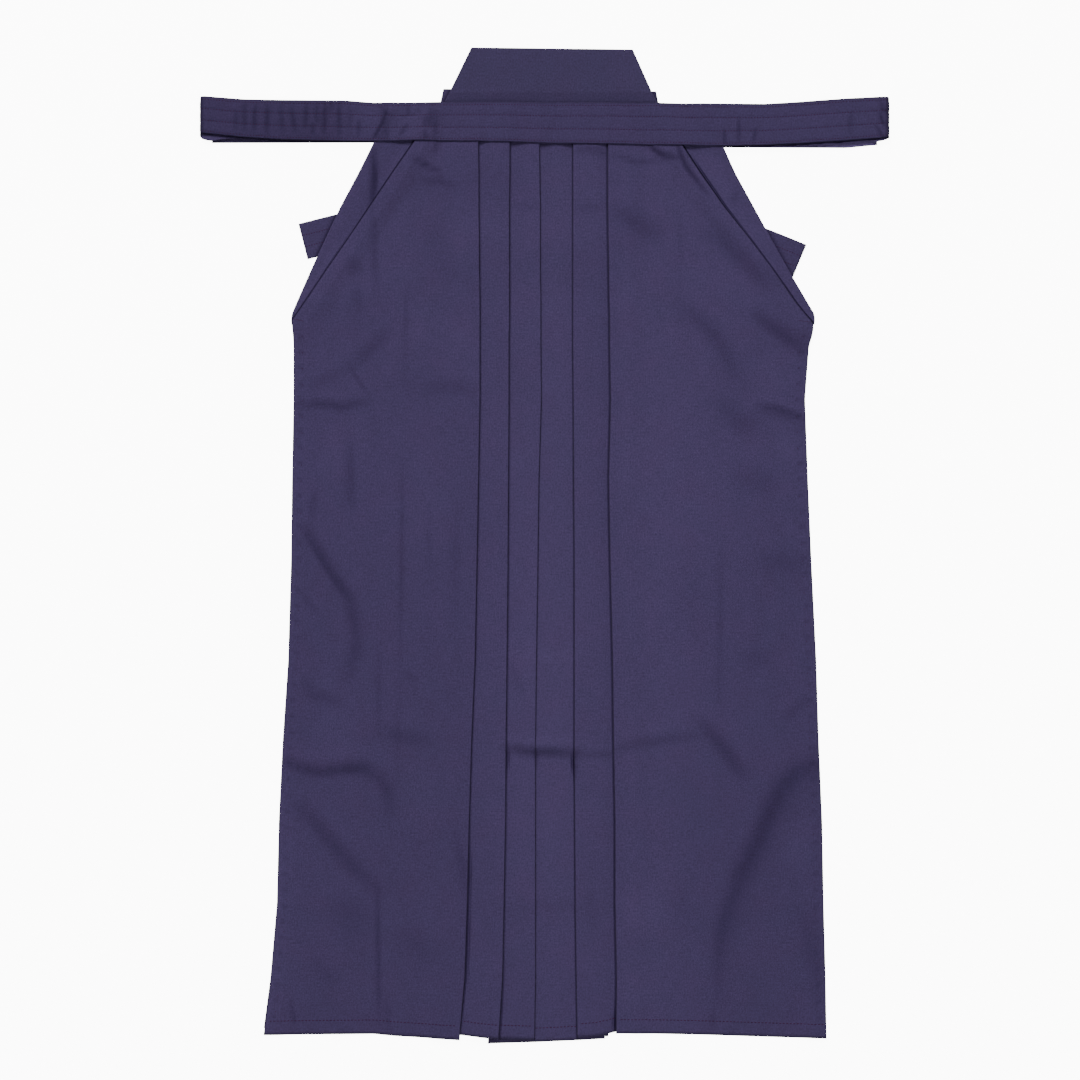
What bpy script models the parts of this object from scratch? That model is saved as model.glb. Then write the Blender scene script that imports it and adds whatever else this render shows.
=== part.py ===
"""Hakama trousers laid flat, front up, in metres.

X runs across the garment, Y from the hem up to the back board, Z up from the surface it lies on.
The sizes below are in millimetres from the middle of the laid garment. Right and left are the
wearer's, so the right leg lies at -X.
"""
import math
from collections import namedtuple

import bpy
import numpy as np

MM = 0.001
WALL = 1.0            # one cloth
GAP = 0.3             # air between two cloths, and at seams
BAND = 2 * WALL + GAP  # a tie is the folded strip, two cloths
BACK_TIE = 1.6
BOARD = 2.0
PITCH = WALL + GAP
SLOPE = 0.15          # steepest fall of a cloth that lies over an edge
NOSE = 0.5 * PITCH    # radius of a fold along the middle of the wall
FOLD_ANGLES = (30, -30)

# The outline and the pleats: the height on the garment, then where each line stands across it.
Section = namedtuple("Section", "y right_side right_slit fold1 fold2 fold3 fold4 fold5 left_slit left_side")
SECTIONS = [Section(*row) for row in (
    (448.0, -157.0, -107.0, -67.0, -35.0, -5.0, 28.5, 64.0, 113.0, 162.0),
    (409.0, -174.5, -134.0, -67.0, -35.0, -5.0, 28.5, 64.0, 138.5, 180.5),
    (378.0, -190.5, -155.5, -66.5, -35.0, -4.5, 28.5, 64.0, 159.0, 195.0),
    (345.5, -208.0, -177.5, -66.5, -35.5, -4.0, 28.5, 64.0, 182.0, 213.0),
    (312.5, -223.5, -200.0, -66.0, -35.5, -4.0, 28.5, 64.5, 208.5, 231.0),
    (280.0, -238.5, -222.5, -66.0, -35.5, -4.0, 28.5, 65.0, 233.0, 249.0),
    (247.0, -253.0, -245.0, -65.5, -35.5, -3.5, 28.5, 65.5, 257.5, 268.5),
    (233.0, -258.5, -255.5, -65.5, -35.5, -3.5, 28.5, 66.0, 271.5, 276.5),
    (205.0, -256.0, -256.0, -65.5, -36.0, -3.5, 28.5, 66.0, 270.0, 270.0),
    (149.0, -256.0, -256.0, -65.5, -36.0, -3.0, 29.0, 67.0, 265.5, 265.5),
    (67.0, -257.5, -257.5, -67.0, -36.5, -5.5, 29.5, 65.0, 268.5, 268.5),
    (-15.0, -258.5, -258.5, -68.5, -37.0, -6.5, 30.0, 66.5, 272.0, 272.0),
    (-117.0, -261.5, -261.5, -70.5, -38.0, -8.0, 30.0, 69.0, 277.0, 277.0),
    (-199.0, -267.0, -267.0, -74.0, -39.0, -9.0, 30.0, 70.0, 279.5, 279.5),
    (-281.0, -271.0, -271.0, -76.5, -39.5, -9.0, 30.5, 71.5, 283.0, 283.0),
    (-365.0, -273.0, -273.0, -78.5, -41.0, -9.0, 31.0, 71.5, 284.5, 284.5),
    (-439.5, -279.5, -279.5, -81.0, -42.5, -9.0, 32.0, 73.0, 286.5, 286.5),
    (-500.0, -286.5, -286.5, -86.5, -46.5, -10.0, 33.0, 72.5, 287.5, 287.5),
)]
SLIT_ROWS = 3 + 8      # rows from the waist down to the foot of the side opening
GUSSET_ROWS = (15, 19)

# How far each hidden turn of a pleat stands from its fold, at the waist and at the hem.
TURN1 = (-20.0, -20.0)   # from fold 1
TURN2 = (-23.0, -21.0)   # from fold 2
TURN3 = (-10.0, -11.5)   # from fold 2
TURN4 = (-7.0, -7.5)     # from fold 5
TURN5 = (20.0, 20.0)     # from fold 5
SEAM_BACK = 3.5          # the middle seam stops this far short of turn 4
FALL = 16.0              # a panel settles over this width beside a turn
SLIT_OVERLAP = 14.0      # how far the side fold reaches under the front
SLIT_SHARE = 0.4         # and never more than this share of the panel

# The front band: upper and lower edge.
Edge = namedtuple("Edge", "x upper lower")
BAND_EDGE = [Edge(*row) for row in (
    (-350.0, 457.8, 420.0),
    (-306.5, 454.3, 415.5),
    (-267.0, 453.5, 413.0),
    (-202.5, 453.0, 411.5),
    (-174.5, 450.7, 411.5),
    (-127.5, 451.3, 412.0),
    (3.5, 451.0, 409.0),
    (117.0, 450.5, 407.2),
    (181.5, 449.9, 406.6),
    (224.5, 449.5, 407.5),
    (256.5, 451.4, 409.0),
    (308.5, 455.2, 412.2),
    (350.5, 457.2, 415.5),
)]
BAND_TUCK = 5.0          # the pleats start this far inside the folded band
BAND_ROWS = (0.0, 0.36, 0.7, 1.0)
BAND_NOSE = 2.5
BAND_NOSE_ANGLES = (60, 30, 0, -30, -60)
BAND_ENDS = (-337.0, 337.0)
TIE_STATIONS = (190.0, 228.0, 264.0, 300.0)  # sections along each tie, from the body out
GRID_PASSES = 3          # rounds that bring the sloping lines and the band's edges together

# Each front tie turns back under itself twice: ends across, lower edges along.
Turn = namedtuple("Turn", "side tip tip_y inner inner_y end end_y")
TIE_TURNS = [Turn(*row) for row in (
    ("right", -351.2, 415.6, -181.0, 410.8, -339.0, 410.5),
    ("left", 351.2, 415.8, 188.5, 406.4, 339.0, 408.6),
)]
TIE_WIDTH = 36.5
TIE_TURN_ANGLES = (60, 20, -20, -60)
TIE_SKEW = 1.5           # the strip drifts this much on its way to the tip

# The hem: where each layer of cloth ends, at its first and at its last line.
HEM = {
    "right_front": (-499.0, -503.5),
    "right_under1": (-503.5, -499.5),
    "right_pleat2": (-497.5, -502.5),
    "right_under2": (-502.5, -501.0),
    "right_pleat3": (-501.0, -503.7),
    "right_under3": (-503.7, -507.6),
    "right_middle": (-507.6, -500.5),
    "left_front": (-502.4, -496.8),
    "left_under5": (-496.8, -495.0),
    "left_pleat5": (-494.5, -501.4),
    "left_under4": (-501.4, -498.5),
    "back": (-492.0, -492.0),
}

# The back board and the waistband behind it, and the ties that cross behind the legs.
BOARD_OUTLINE = [(-74.7, 507.6), (89.9, 505.5), (108.5, 464.0), (134.3, 411.8), (-121.0, 413.6), (-95.5, 465.0)]
WAISTBAND_OUTLINE = [(-103.3, 465.7), (113.8, 463.2), (121.0, 426.5), (-111.5, 428.0)]
BackTie = namedtuple("BackTie", "side root end sag over")
BACK_TIES = [BackTie(*row) for row in (
    ("right", (-102.0, 390.0), (259.8, 289.5), 12.0, False),
    ("left", (113.0, 390.0), (-246.4, 309.9), 3.0, True),
)]
BACK_TIE_WIDTH = 37.5
TIE_STEPS = 24
TIE_MARGIN = 46.0
TIE_RAMP = 42.0
CROSS_FLAT = 40.0
CROSS_RAMP = 14.0
EDGE_CHAMFER = 0.4

COLUMNS = ("right_side right_slit right1 right2 right3 right_fall turn1 fold1 turn2 turn3 fold2 fold3 centre "
           "fold4 seam turn4 fold5 turn5 left_fall left3 left2 left1 left_slit left_side").split()
COL = {name: i for i, name in enumerate(COLUMNS)}


def clear_scene():
    for obj in list(bpy.data.objects):
        bpy.data.objects.remove(obj, do_unlink=True)


def cloth_material(name, colour, roughness):
    mat = bpy.data.materials.new(name)
    mat.use_nodes = True
    shader = mat.node_tree.nodes["Principled BSDF"]
    shader.inputs["Base Color"].default_value = (*colour, 1.0)
    shader.inputs["Roughness"].default_value = roughness
    shader.inputs["Metallic"].default_value = 0.0
    return mat


def band_height(x, edge):
    """Height of the band's upper or lower edge at x."""
    return np.interp(x, [e.x for e in BAND_EDGE], [getattr(e, edge) for e in BAND_EDGE])


def column_x(y):
    """Where every line of the garment stands at the heights y, one row each."""
    table = np.array(SECTIONS)[::-1]
    at = {name: np.interp(y, table[:, 0], table[:, i]) for i, name in enumerate(Section._fields)}
    down = (SECTIONS[0].y - y) / (SECTIONS[0].y - SECTIONS[-1].y)

    def turn(fold, sizes):
        return at[fold] + sizes[0] + (sizes[1] - sizes[0]) * down

    at["turn1"] = turn("fold1", TURN1)
    at["turn2"] = turn("fold2", TURN2)
    at["turn3"] = turn("fold2", TURN3)
    at["turn4"] = turn("fold5", TURN4)
    at["turn5"] = turn("fold5", TURN5)
    at["seam"] = at["turn4"] - SEAM_BACK
    at["centre"] = 0.5 * (at["fold3"] + at["fold4"])
    at["right_fall"] = at["turn1"] - FALL
    at["left_fall"] = at["turn5"] + FALL
    for side in ("right", "left"):
        slit, fall = at[side + "_slit"], at[side + "_fall"]
        overlap = np.minimum(SLIT_OVERLAP, SLIT_SHARE * abs(fall - slit))
        first = slit + np.sign(fall - slit) * overlap
        at[side + "1"] = first
        at[side + "2"] = first + (fall - first) / 3
        at[side + "3"] = first + (fall - first) * 2 / 3
    return np.stack([at[name] for name in COLUMNS], axis=1)


def garment_grid():
    """X and Y of the points that all cloths share: rows run down, columns run across."""
    waist = np.full(len(BAND_ROWS), SECTIONS[1].y)
    heights = np.concatenate([waist, [s.y for s in SECTIONS[2:]]])
    x = column_x(heights)
    y = np.repeat(heights[:, None], len(COLUMNS), axis=1)
    for _ in range(GRID_PASSES):
        for row, share in enumerate(BAND_ROWS):
            upper = band_height(x[row], "upper") - BAND_TUCK
            y[row] = upper + (band_height(x[row], "lower") - upper) * share
            for col in range(len(COLUMNS)):
                x[row, col] = column_x(y[row, col:col + 1])[0, col]
    return x, y


def smooth_step(t):
    t = np.clip(t, 0.0, 1.0)
    return t * t * (3.0 - 2.0 * t)


def tie_path(tie, steps=TIE_STEPS):
    """Middle line of a back tie: a straight run from root to end with a small sag."""
    t = np.linspace(0.0, 1.0, steps)
    root, end = np.array(tie.root), np.array(tie.end)
    side = np.array([-(end - root)[1], (end - root)[0]])
    side = side / np.linalg.norm(side)
    side = side if side[1] > 0 else -side
    return root + (end - root) * t[:, None] + side * (4 * t * (1 - t) * tie.sag)[:, None]


def path_distance(x, y, path):
    """Distance from each point to a path of straight runs."""
    best = np.full(np.shape(x), np.inf)
    for a, b in zip(path[:-1], path[1:]):
        run = b - a
        t = np.clip(((x - a[0]) * run[0] + (y - a[1]) * run[1]) / (run @ run), 0.0, 1.0)
        best = np.minimum(best, np.hypot(x - a[0] - t * run[0], y - a[1] - t * run[1]))
    return best


def tie_ground(x, y):
    """How high the cloth lies over the back ties: a broad soft rise along each, both where they cross."""
    height = np.zeros(np.shape(x))
    for tie in BACK_TIES:
        away = path_distance(x, y, tie_path(tie)) - 0.5 * BACK_TIE_WIDTH - TIE_MARGIN
        height += (BACK_TIE + GAP) * np.clip(1.0 - away / TIE_RAMP, 0.0, 1.0)
    return height


class Stack:
    """Cloths laid on each other over the shared points: each rests on what is below it."""

    def __init__(self):
        self.x, self.y = garment_grid()
        self.top = tie_ground(self.x, self.y)
        self.height = {}

    def rest_on(self, rows, first, last, height):
        part = self.top[rows, COL[first]:COL[last] + 1]
        self.top[rows, COL[first]:COL[last] + 1] = np.maximum(part, height)

    def lay(self, name, first, last, rows=slice(None)):
        """Lay a cloth from column first to last: it never falls steeper than SLOPE."""
        cols = slice(COL[first], COL[last] + 1)
        x, y = self.x[rows, cols], self.y[rows, cols]
        under = self.top[rows, cols]
        across = under[:, None, :] - SLOPE * np.abs(x[:, :, None] - x[:, None, :])
        z = across.max(axis=2)
        along = z[None, :, :] - SLOPE * np.abs(y[:, None, :] - y[None, :, :])
        z = along.max(axis=1)
        self.top[rows, cols] = z + PITCH
        whole = np.full(self.top.shape, np.nan)
        whole[rows, cols] = z + 0.5 * WALL
        self.height[name] = whole

    def run(self, name, row, first, last, inset=(0.0, 0.0)):
        """Middle-of-wall points of one cloth on one row, from line first to line last."""
        a, b = COL[first], COL[last]
        step = 1 if b >= a else -1
        cols = np.arange(a, b + step, step)
        x = self.x[row, cols].copy()
        lo, hi = min(a, b), max(a, b)
        known_x, known_z = self.x[row, lo:hi + 1], self.height[name][row, lo:hi + 1]
        x[0] += step * inset[0]
        x[-1] -= step * inset[1]
        z = np.interp(x, known_x, known_z)
        y = self.y[row, cols].copy()
        if row == len(self.x) - 1:
            start, end = HEM[name]
            y = start + (end - start) * np.linspace(0.0, 1.0, len(cols))
        return np.stack([x, y, z], axis=1)


def fold_points(a, b, outward):
    """The round nose between the end of one cloth and the start of the next one under it."""
    middle = 0.5 * (a + b)
    half = 0.5 * (a[2] - b[2])
    points = []
    for angle in FOLD_ANGLES:
        c, s = math.cos(math.radians(angle)), math.sin(math.radians(angle))
        points.append([middle[0] + outward * NOSE * c, middle[1], middle[2] + half * s])
    return np.array(points)


def pleated_section(stack, row, layers):
    """One ring line through a pleated front: its layers joined by folds."""
    inset = NOSE + 0.5 * WALL
    line = []
    for i, (name, first, last) in enumerate(layers):
        ends = (0.0 if i == 0 else inset, 0.0 if i == len(layers) - 1 else inset)
        part = stack.run(name, row, first, last, ends)
        if line:
            outward = 1 if COL[first] > COL[last] else -1
            line.append(fold_points(line[-1][-1], part[0], outward))
        line.append(part)
    return np.concatenate(line)


def wall_object(name, sections, thickness, material, collection):
    """A wall of even thickness round an open surface, given as lines of points in millimetres."""
    grid = np.array(sections)
    rows, cols = grid.shape[:2]
    points = grid.reshape(-1, 3) * MM
    faces = []
    for r in range(rows - 1):
        for c in range(cols - 1):
            a, b = r * cols + c, r * cols + c + 1
            d, e = a + cols, b + cols
            diagonal = points[e] - points[a]
            if diagonal[0] * diagonal[1] > 0:
                faces += [(a, d, e), (a, e, b)]
            else:
                faces += [(a, d, b), (b, d, e)]
    mesh = bpy.data.meshes.new(name)
    mesh.from_pydata(points.tolist(), [], faces)
    mesh.update()
    obj = bpy.data.objects.new(name, mesh)
    collection.objects.link(obj)
    obj.data.materials.append(material)
    solid = obj.modifiers.new("wall", "SOLIDIFY")
    solid.thickness = thickness * MM
    solid.offset = 0.0
    solid.use_even_offset = True
    mesh.shade_smooth()
    mesh.set_sharp_from_angle(angle=math.radians(50))
    return obj


def front_leg(name, stack, layers, material, collection):
    sections = [pleated_section(stack, row, layers) for row in range(len(stack.x))]
    return wall_object(name, sections, WALL, material, collection)


def flat_panel(name, stack, layer, first, last, rows, material, collection, inset=(0.0, 0.0)):
    """A cloth that lies flat between two lines of the garment."""
    sections = [stack.run(layer, row, first, last, inset) for row in rows]
    return wall_object(name, sections, WALL, material, collection)


def front_band(stack, material, collection):
    """The front strip, folded over the top of the pleats and closed on itself along the ties."""
    rows = len(BAND_ROWS)
    tie_z = 2 * (BAND + GAP)
    stations = []
    stations.append((BAND_ENDS[0], None))
    stations += [(-x, None) for x in reversed(TIE_STATIONS)]
    stations += [(None, c) for c in range(len(COLUMNS))]
    stations += [(x, None) for x in TIE_STATIONS]
    stations.append((BAND_ENDS[1], None))
    sections = []
    for x, column in stations:
        if column is None:
            upper = band_height(x, "upper") - BAND_TUCK
            y = upper + (band_height(x, "lower") - upper) * np.array(BAND_ROWS)
            front = np.stack([np.full(rows, x), y, np.full(rows, tie_z + PITCH + 0.5 * WALL)], axis=1)
            back = front - [0.0, 0.0, PITCH]
        else:
            xy = np.stack([stack.x[:rows, column], stack.y[:rows, column]], axis=1)
            front = np.column_stack([xy, stack.height["band_front"][:rows, column]])
            back = np.column_stack([xy, stack.height["band_back"][:rows, column]])
        middle = 0.5 * (front[0] + back[0])
        half = 0.5 * (front[0, 2] - back[0, 2])
        reach = min(half, BAND_NOSE)
        nose = []
        for angle in BAND_NOSE_ANGLES:
            c, s = math.cos(math.radians(angle)), math.sin(math.radians(angle))
            top_y = band_height(middle[0], "upper") - 0.5 * WALL - reach
            nose.append([middle[0], top_y + reach * c, middle[2] + half * s])
        sections.append(np.concatenate([front[::-1], np.array(nose), back]))
    return wall_object("front_band", sections, WALL, material, collection)


def front_tie(turn, material, collection):
    """The end of a front tie: over the tip, back under itself, and out again on the surface."""
    out = 1 if turn.tip > 0 else -1
    pitch = BAND + GAP
    level = [0.5 * BAND + pitch * i for i in range(3)]
    end_x = BAND_ENDS[1] if out > 0 else BAND_ENDS[0]
    reach = 0.5 * pitch + 0.5 * BAND
    tip, inner = turn.tip - out * reach, turn.inner + out * reach
    lower_at = band_height(end_x, "lower")
    line = [(end_x + out * GAP, lower_at, level[2]), (tip, lower_at + TIE_SKEW, level[2])]
    turns = ((tip, out, level[2], level[1], lower_at + TIE_SKEW, turn.tip_y),
             (inner, -out, level[1], level[0], turn.inner_y, turn.inner_y))
    for x, side, high, low, y_high, y_low in turns:
        for angle in TIE_TURN_ANGLES:
            c, s = math.cos(math.radians(angle)), math.sin(math.radians(angle))
            share = 0.5 - 0.5 * s
            line.append((x + side * 0.5 * pitch * c, y_high + (y_low - y_high) * share,
                         0.5 * (high + low) + 0.5 * pitch * s))
        line.append((x, y_low, low))
        if side == out:
            line.append((inner, turn.inner_y, low))
    line.append((turn.end, turn.end_y, level[0]))
    upper = [(x, y + TIE_WIDTH, z) for x, y, z in line]
    return wall_object("front_tie_" + turn.side, [line, upper], BAND, material, collection)


def back_tie(tie, material, collection):
    """A back tie: a flat strip on the surface. The one that crosses over steps up and down."""
    path = tie_path(tie)
    run = np.gradient(path, axis=0)
    run /= np.linalg.norm(run, axis=1)[:, None]
    side = np.stack([-run[:, 1], run[:, 0]], axis=1) * 0.5 * BACK_TIE_WIDTH
    z = np.full(len(path), 0.5 * BACK_TIE)
    if tie.over:
        other = tie_path([t for t in BACK_TIES if not t.over][0])
        away = path_distance(path[:, 0], path[:, 1], other)
        z += (BACK_TIE + GAP) * smooth_step(1.0 - (away - CROSS_FLAT) / CROSS_RAMP)
    low = np.column_stack([path - side, z])
    high = np.column_stack([path + side, z])
    return wall_object("back_tie_" + tie.side, [low, high], BACK_TIE, material, collection)


def flat_board(name, outline, thickness, bottom, chamfer, material, collection):
    """A flat piece from its outline: a filled curve given half its thickness each way."""
    curve = bpy.data.curves.new(name, "CURVE")
    curve.dimensions = "2D"
    curve.fill_mode = "BOTH"
    curve.extrude = (0.5 * thickness - chamfer) * MM
    curve.bevel_depth = chamfer * MM
    curve.bevel_resolution = 1
    curve.offset = -chamfer * MM
    line = curve.splines.new("POLY")
    line.points.add(len(outline) - 1)
    for point, (x, y) in zip(line.points, outline):
        point.co = (x * MM, y * MM, 0.0, 1.0)
    line.use_cyclic_u = True
    shape = bpy.data.objects.new(name + "_outline", curve)
    collection.objects.link(shape)
    bpy.context.view_layer.update()
    mesh = bpy.data.meshes.new_from_object(shape.evaluated_get(bpy.context.evaluated_depsgraph_get()))
    obj = bpy.data.objects.new(name, mesh)
    obj.location.z = (bottom + 0.5 * thickness) * MM
    collection.objects.link(obj)
    weld = obj.modifiers.new("weld", "WELD")
    weld.merge_threshold = 0.00001
    mesh.materials.clear()
    mesh.materials.append(material)
    bpy.data.objects.remove(shape, do_unlink=True)
    return obj


def lay_garment(stack):
    """Lay every cloth in its order, from the surface up."""
    waist = slice(0, len(BAND_ROWS))
    legs = slice(len(BAND_ROWS) - 1, None)
    slit = slice(0, SLIT_ROWS + 1)
    stack.lay("back", "right_slit", "left_slit", legs)
    over_board = BACK_TIE + GAP + BOARD + GAP
    for side in ("right_side", "left_side"):
        stack.rest_on(waist, side, side, 2 * (BAND + GAP))
    stack.rest_on(waist, "right_slit", "left_slit", over_board + 0.5 * GAP)
    stack.lay("band_back", "right_side", "left_side", waist)
    stack.lay("gusset", "fold2", "fold4", slice(*GUSSET_ROWS))
    stack.lay("right_middle", "turn3", "seam")
    stack.lay("right_under3", "turn3", "fold3")
    stack.lay("right_pleat3", "turn2", "fold3")
    stack.lay("right_under2", "turn2", "fold2")
    stack.lay("right_pleat2", "turn1", "fold2")
    stack.lay("right_under1", "turn1", "fold1")
    stack.lay("left_under4", "fold4", "turn4")
    stack.lay("left_pleat5", "fold4", "turn5")
    stack.lay("left_under5", "fold5", "turn5")
    stack.lay("right_fold", "right_side", "right1", slit)
    stack.lay("left_fold", "left1", "left_side", slit)
    stack.lay("right_front", "right_slit", "fold1")
    stack.lay("left_front", "fold5", "left_slit")
    stack.lay("band_front", "right_side", "left_side", waist)


def build():
    clear_scene()
    collection = bpy.data.collections.new("hakama_trousers")
    bpy.context.scene.collection.children.link(collection)
    navy = cloth_material("navy_cotton", (0.056, 0.048, 0.117), 0.85)
    band = cloth_material("navy_cotton_band", (0.045, 0.04, 0.098), 0.85)
    board = cloth_material("navy_cotton_board", (0.052, 0.046, 0.11), 0.8)
    stack = Stack()
    lay_garment(stack)
    last = len(stack.x)
    legs = range(len(BAND_ROWS) - 1, last)
    front_leg("front_right_leg", stack, (
        ("right_front", "right_slit", "fold1"),
        ("right_under1", "fold1", "turn1"),
        ("right_pleat2", "turn1", "fold2"),
        ("right_under2", "fold2", "turn2"),
        ("right_pleat3", "turn2", "fold3"),
        ("right_under3", "fold3", "turn3"),
        ("right_middle", "turn3", "seam"),
    ), navy, collection)
    front_leg("front_left_leg", stack, (
        ("left_front", "left_slit", "fold5"),
        ("left_under5", "fold5", "turn5"),
        ("left_pleat5", "turn5", "fold4"),
        ("left_under4", "fold4", "turn4"),
    ), navy, collection)
    half = 0.5 * GAP
    flat_panel("back_right_leg", stack, "back", "right_slit", "centre", legs, navy, collection, (0.0, half))
    flat_panel("back_left_leg", stack, "back", "centre", "left_slit", legs, navy, collection, (half, 0.0))
    flat_panel("gusset", stack, "gusset", "fold2", "fold4", range(*GUSSET_ROWS), navy, collection)
    slit = range(SLIT_ROWS + 1)
    flat_panel("side_fold_right", stack, "right_fold", "right_side", "right1", slit, navy, collection)
    flat_panel("side_fold_left", stack, "left_fold", "left1", "left_side", slit, navy, collection)
    front_band(stack, band, collection)
    for turn in TIE_TURNS:
        front_tie(turn, band, collection)
    for tie in BACK_TIES:
        back_tie(tie, band, collection)
    flat_board("back_waistband", WAISTBAND_OUTLINE, BACK_TIE, 0.0, EDGE_CHAMFER, band, collection)
    flat_board("back_board", BOARD_OUTLINE, BOARD, BACK_TIE + GAP, EDGE_CHAMFER, board, collection)


build()
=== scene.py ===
import math

import bpy
import numpy as np
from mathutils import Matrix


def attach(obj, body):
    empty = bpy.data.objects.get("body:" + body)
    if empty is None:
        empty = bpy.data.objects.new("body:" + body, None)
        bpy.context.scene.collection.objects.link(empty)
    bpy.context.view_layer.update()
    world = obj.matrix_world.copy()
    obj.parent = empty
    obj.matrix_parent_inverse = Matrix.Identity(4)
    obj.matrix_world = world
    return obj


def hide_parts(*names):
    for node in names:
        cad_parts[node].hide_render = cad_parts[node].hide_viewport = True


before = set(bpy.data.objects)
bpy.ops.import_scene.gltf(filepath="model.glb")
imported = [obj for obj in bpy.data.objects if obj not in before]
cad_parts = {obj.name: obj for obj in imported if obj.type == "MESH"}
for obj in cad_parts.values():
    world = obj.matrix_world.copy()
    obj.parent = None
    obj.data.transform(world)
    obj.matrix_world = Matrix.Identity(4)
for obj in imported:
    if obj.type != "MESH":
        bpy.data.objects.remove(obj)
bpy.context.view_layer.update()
MM = 0.001

# Back ties: two long flat straps of the same cotton folded double, sewn to the lower corners of the
# back waistband. They lie on the surface and cross behind the waist, the left one over the right one.
BACK_TIE_WIDTH = 37.5
BACK_TIE_THICK = 1.4
BACK_TIES = {  # root, free end and sag
    "right": ((-102.0, 390.0), (259.8, 289.5), 12.0),
    "left": ((113.0, 390.0), (-246.4, 309.9), 3.0),
}
TIE_STEP = 1.9               # how far a cloth rises over a back tie


class Socket:
    """A shader socket that takes part in sums: each operator adds the Math node for it."""

    def __init__(self, tree, link):
        self.tree, self.link = tree, link

    def node(self, kind, settings=None, sockets=None, output=0):
        """Add a node with its settings and its socket values or links, and give one output of it."""
        made = self.tree.nodes.new(kind)
        for key, value in (settings or {}).items():
            if key == "stops":
                for extra in range(len(value) - len(made.color_ramp.elements)):
                    made.color_ramp.elements.new(0.5)
                for element, (place, colour) in zip(made.color_ramp.elements, value):
                    element.position = place
                    element.color = colour
            else:
                setattr(made, key, value)
        for key, value in (sockets or {}).items():
            if isinstance(value, Socket):
                self.tree.links.new(value.link, made.inputs[key])
            else:
                made.inputs[key].default_value = value
        return Socket(self.tree, made.outputs[output])

    def maths(self, operation, *values):
        return self.node("ShaderNodeMath", {"operation": operation}, dict(enumerate(values)))

    def __add__(self, other):
        return self.maths("ADD", self, other)

    __radd__ = __add__

    def __sub__(self, other):
        return self.maths("SUBTRACT", self, other)

    def __mul__(self, other):
        return self.maths("MULTIPLY", self, other)

    __rmul__ = __mul__


def plain_material(name, sockets):
    """A material with one value for each of the named sockets of its shader."""
    made = bpy.data.materials.new(name)
    made.use_nodes = True
    for socket, value in sockets.items():
        made.node_tree.nodes["Principled BSDF"].inputs[socket].default_value = value
    return made


def cotton(name, colour, slub=1.0, weave=1.0):
    """Plain woven cotton, read from the piece's own map in metres: u across, v along the cloth.

    Colour: the dye leans from blue to purple in soft patches, single threads are lighter or darker, and
    the piece's shade attribute paints light and shade on it: 1 where the cloth is open, below 1 painted
    shade in the depth of folds and beside the edges of cloth on top, green most, above 1 painted light.
    Bump: threads going over and under each other, with thicker threads here and there.
    """
    thread = 0.00052
    material = plain_material(name, {"Roughness": 0.85, "Sheen Weight": 0.04, "Sheen Roughness": 0.5,
                                     "Specular IOR Level": 0.15})
    tree = material.node_tree
    shader = tree.nodes["Principled BSDF"]
    chart = Socket(tree, None).node("ShaderNodeUVMap", {"uv_map": "cloth"})
    u = chart.node("ShaderNodeSeparateXYZ", None, {0: chart}, 0)
    v = chart.node("ShaderNodeSeparateXYZ", None, {0: chart}, 1)

    def noise(scale, across=1.0, along=1.0, detail=2.0):
        place = chart.node("ShaderNodeMapping", None, {0: chart, "Scale": (across, along, 1.0)})
        return chart.node("ShaderNodeTexNoise", None, {"Vector": place, "Scale": scale, "Detail": detail})

    red, green, blue = colour
    patches = noise(30.0, detail=3.0)
    broad = noise(9.0)
    worn = noise(70.0, 1.0, 0.55, 4.0)
    fleck = noise(700.0, 1.0, 0.7)
    warp = noise(900.0, 1.0, 0.1)
    weft = noise(900.0, 0.1, 1.0)
    tint = chart.node("ShaderNodeValToRGB", {"stops": (
        (0.3, (red * 0.98, green * 1.01, blue, 1.0)),
        (0.5, (red, green, blue, 1.0)),
        (0.7, (red * 1.03, green * 0.99, blue, 1.0)),
    )}, {"Fac": patches})
    light = 0.2 + broad * 0.12 + worn * 0.12 + fleck * 0.8 + warp * (0.28 * slub) + weft * (0.28 * slub)
    # painted light and shade: the shade attribute darkens the colour below 1 and lightens it above 1
    painted_shade_level = chart.node("ShaderNodeAttribute", {"attribute_name": "shade"}, output=2)
    shade = chart.node("ShaderNodeCombineXYZ", None, {
        0: light * painted_shade_level, 1: light * (painted_shade_level * 1.1 - 0.1), 2: light * (painted_shade_level * 0.88 + 0.12)})
    dyed = chart.node("ShaderNodeVectorMath", {"operation": "MULTIPLY"}, {0: tint, 1: shade})
    tree.links.new(dyed.link, shader.inputs["Base Color"])
    over = chart.maths("SINE", u * (2 * math.pi / thread))
    under = chart.maths("SINE", v * (2 * math.pi / thread))
    height = over * under * (0.4 * weave) + warp * slub + weft * slub
    bump = chart.node("ShaderNodeBump", None, {"Height": height, "Strength": 0.5, "Distance": 0.00015})
    tree.links.new(bump.link, shader.inputs["Normal"])
    return material


def add_object(name, data):
    """A new object in the scene, at its origin."""
    made = bpy.data.objects.new(name, data)
    bpy.context.scene.collection.objects.link(made)
    return made


def smooth_mesh(name, points, faces, material):
    """A piece from points in millimetres and its faces, shaded smooth."""
    mesh = bpy.data.meshes.new(name)
    mesh.from_pydata((points.reshape(-1, 3) * MM).tolist(), [], faces)
    mesh.update()
    mesh.polygons.foreach_set("use_smooth", np.ones(len(mesh.polygons), dtype=bool))
    mesh.materials.append(material)
    return add_object(name, mesh)


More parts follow.
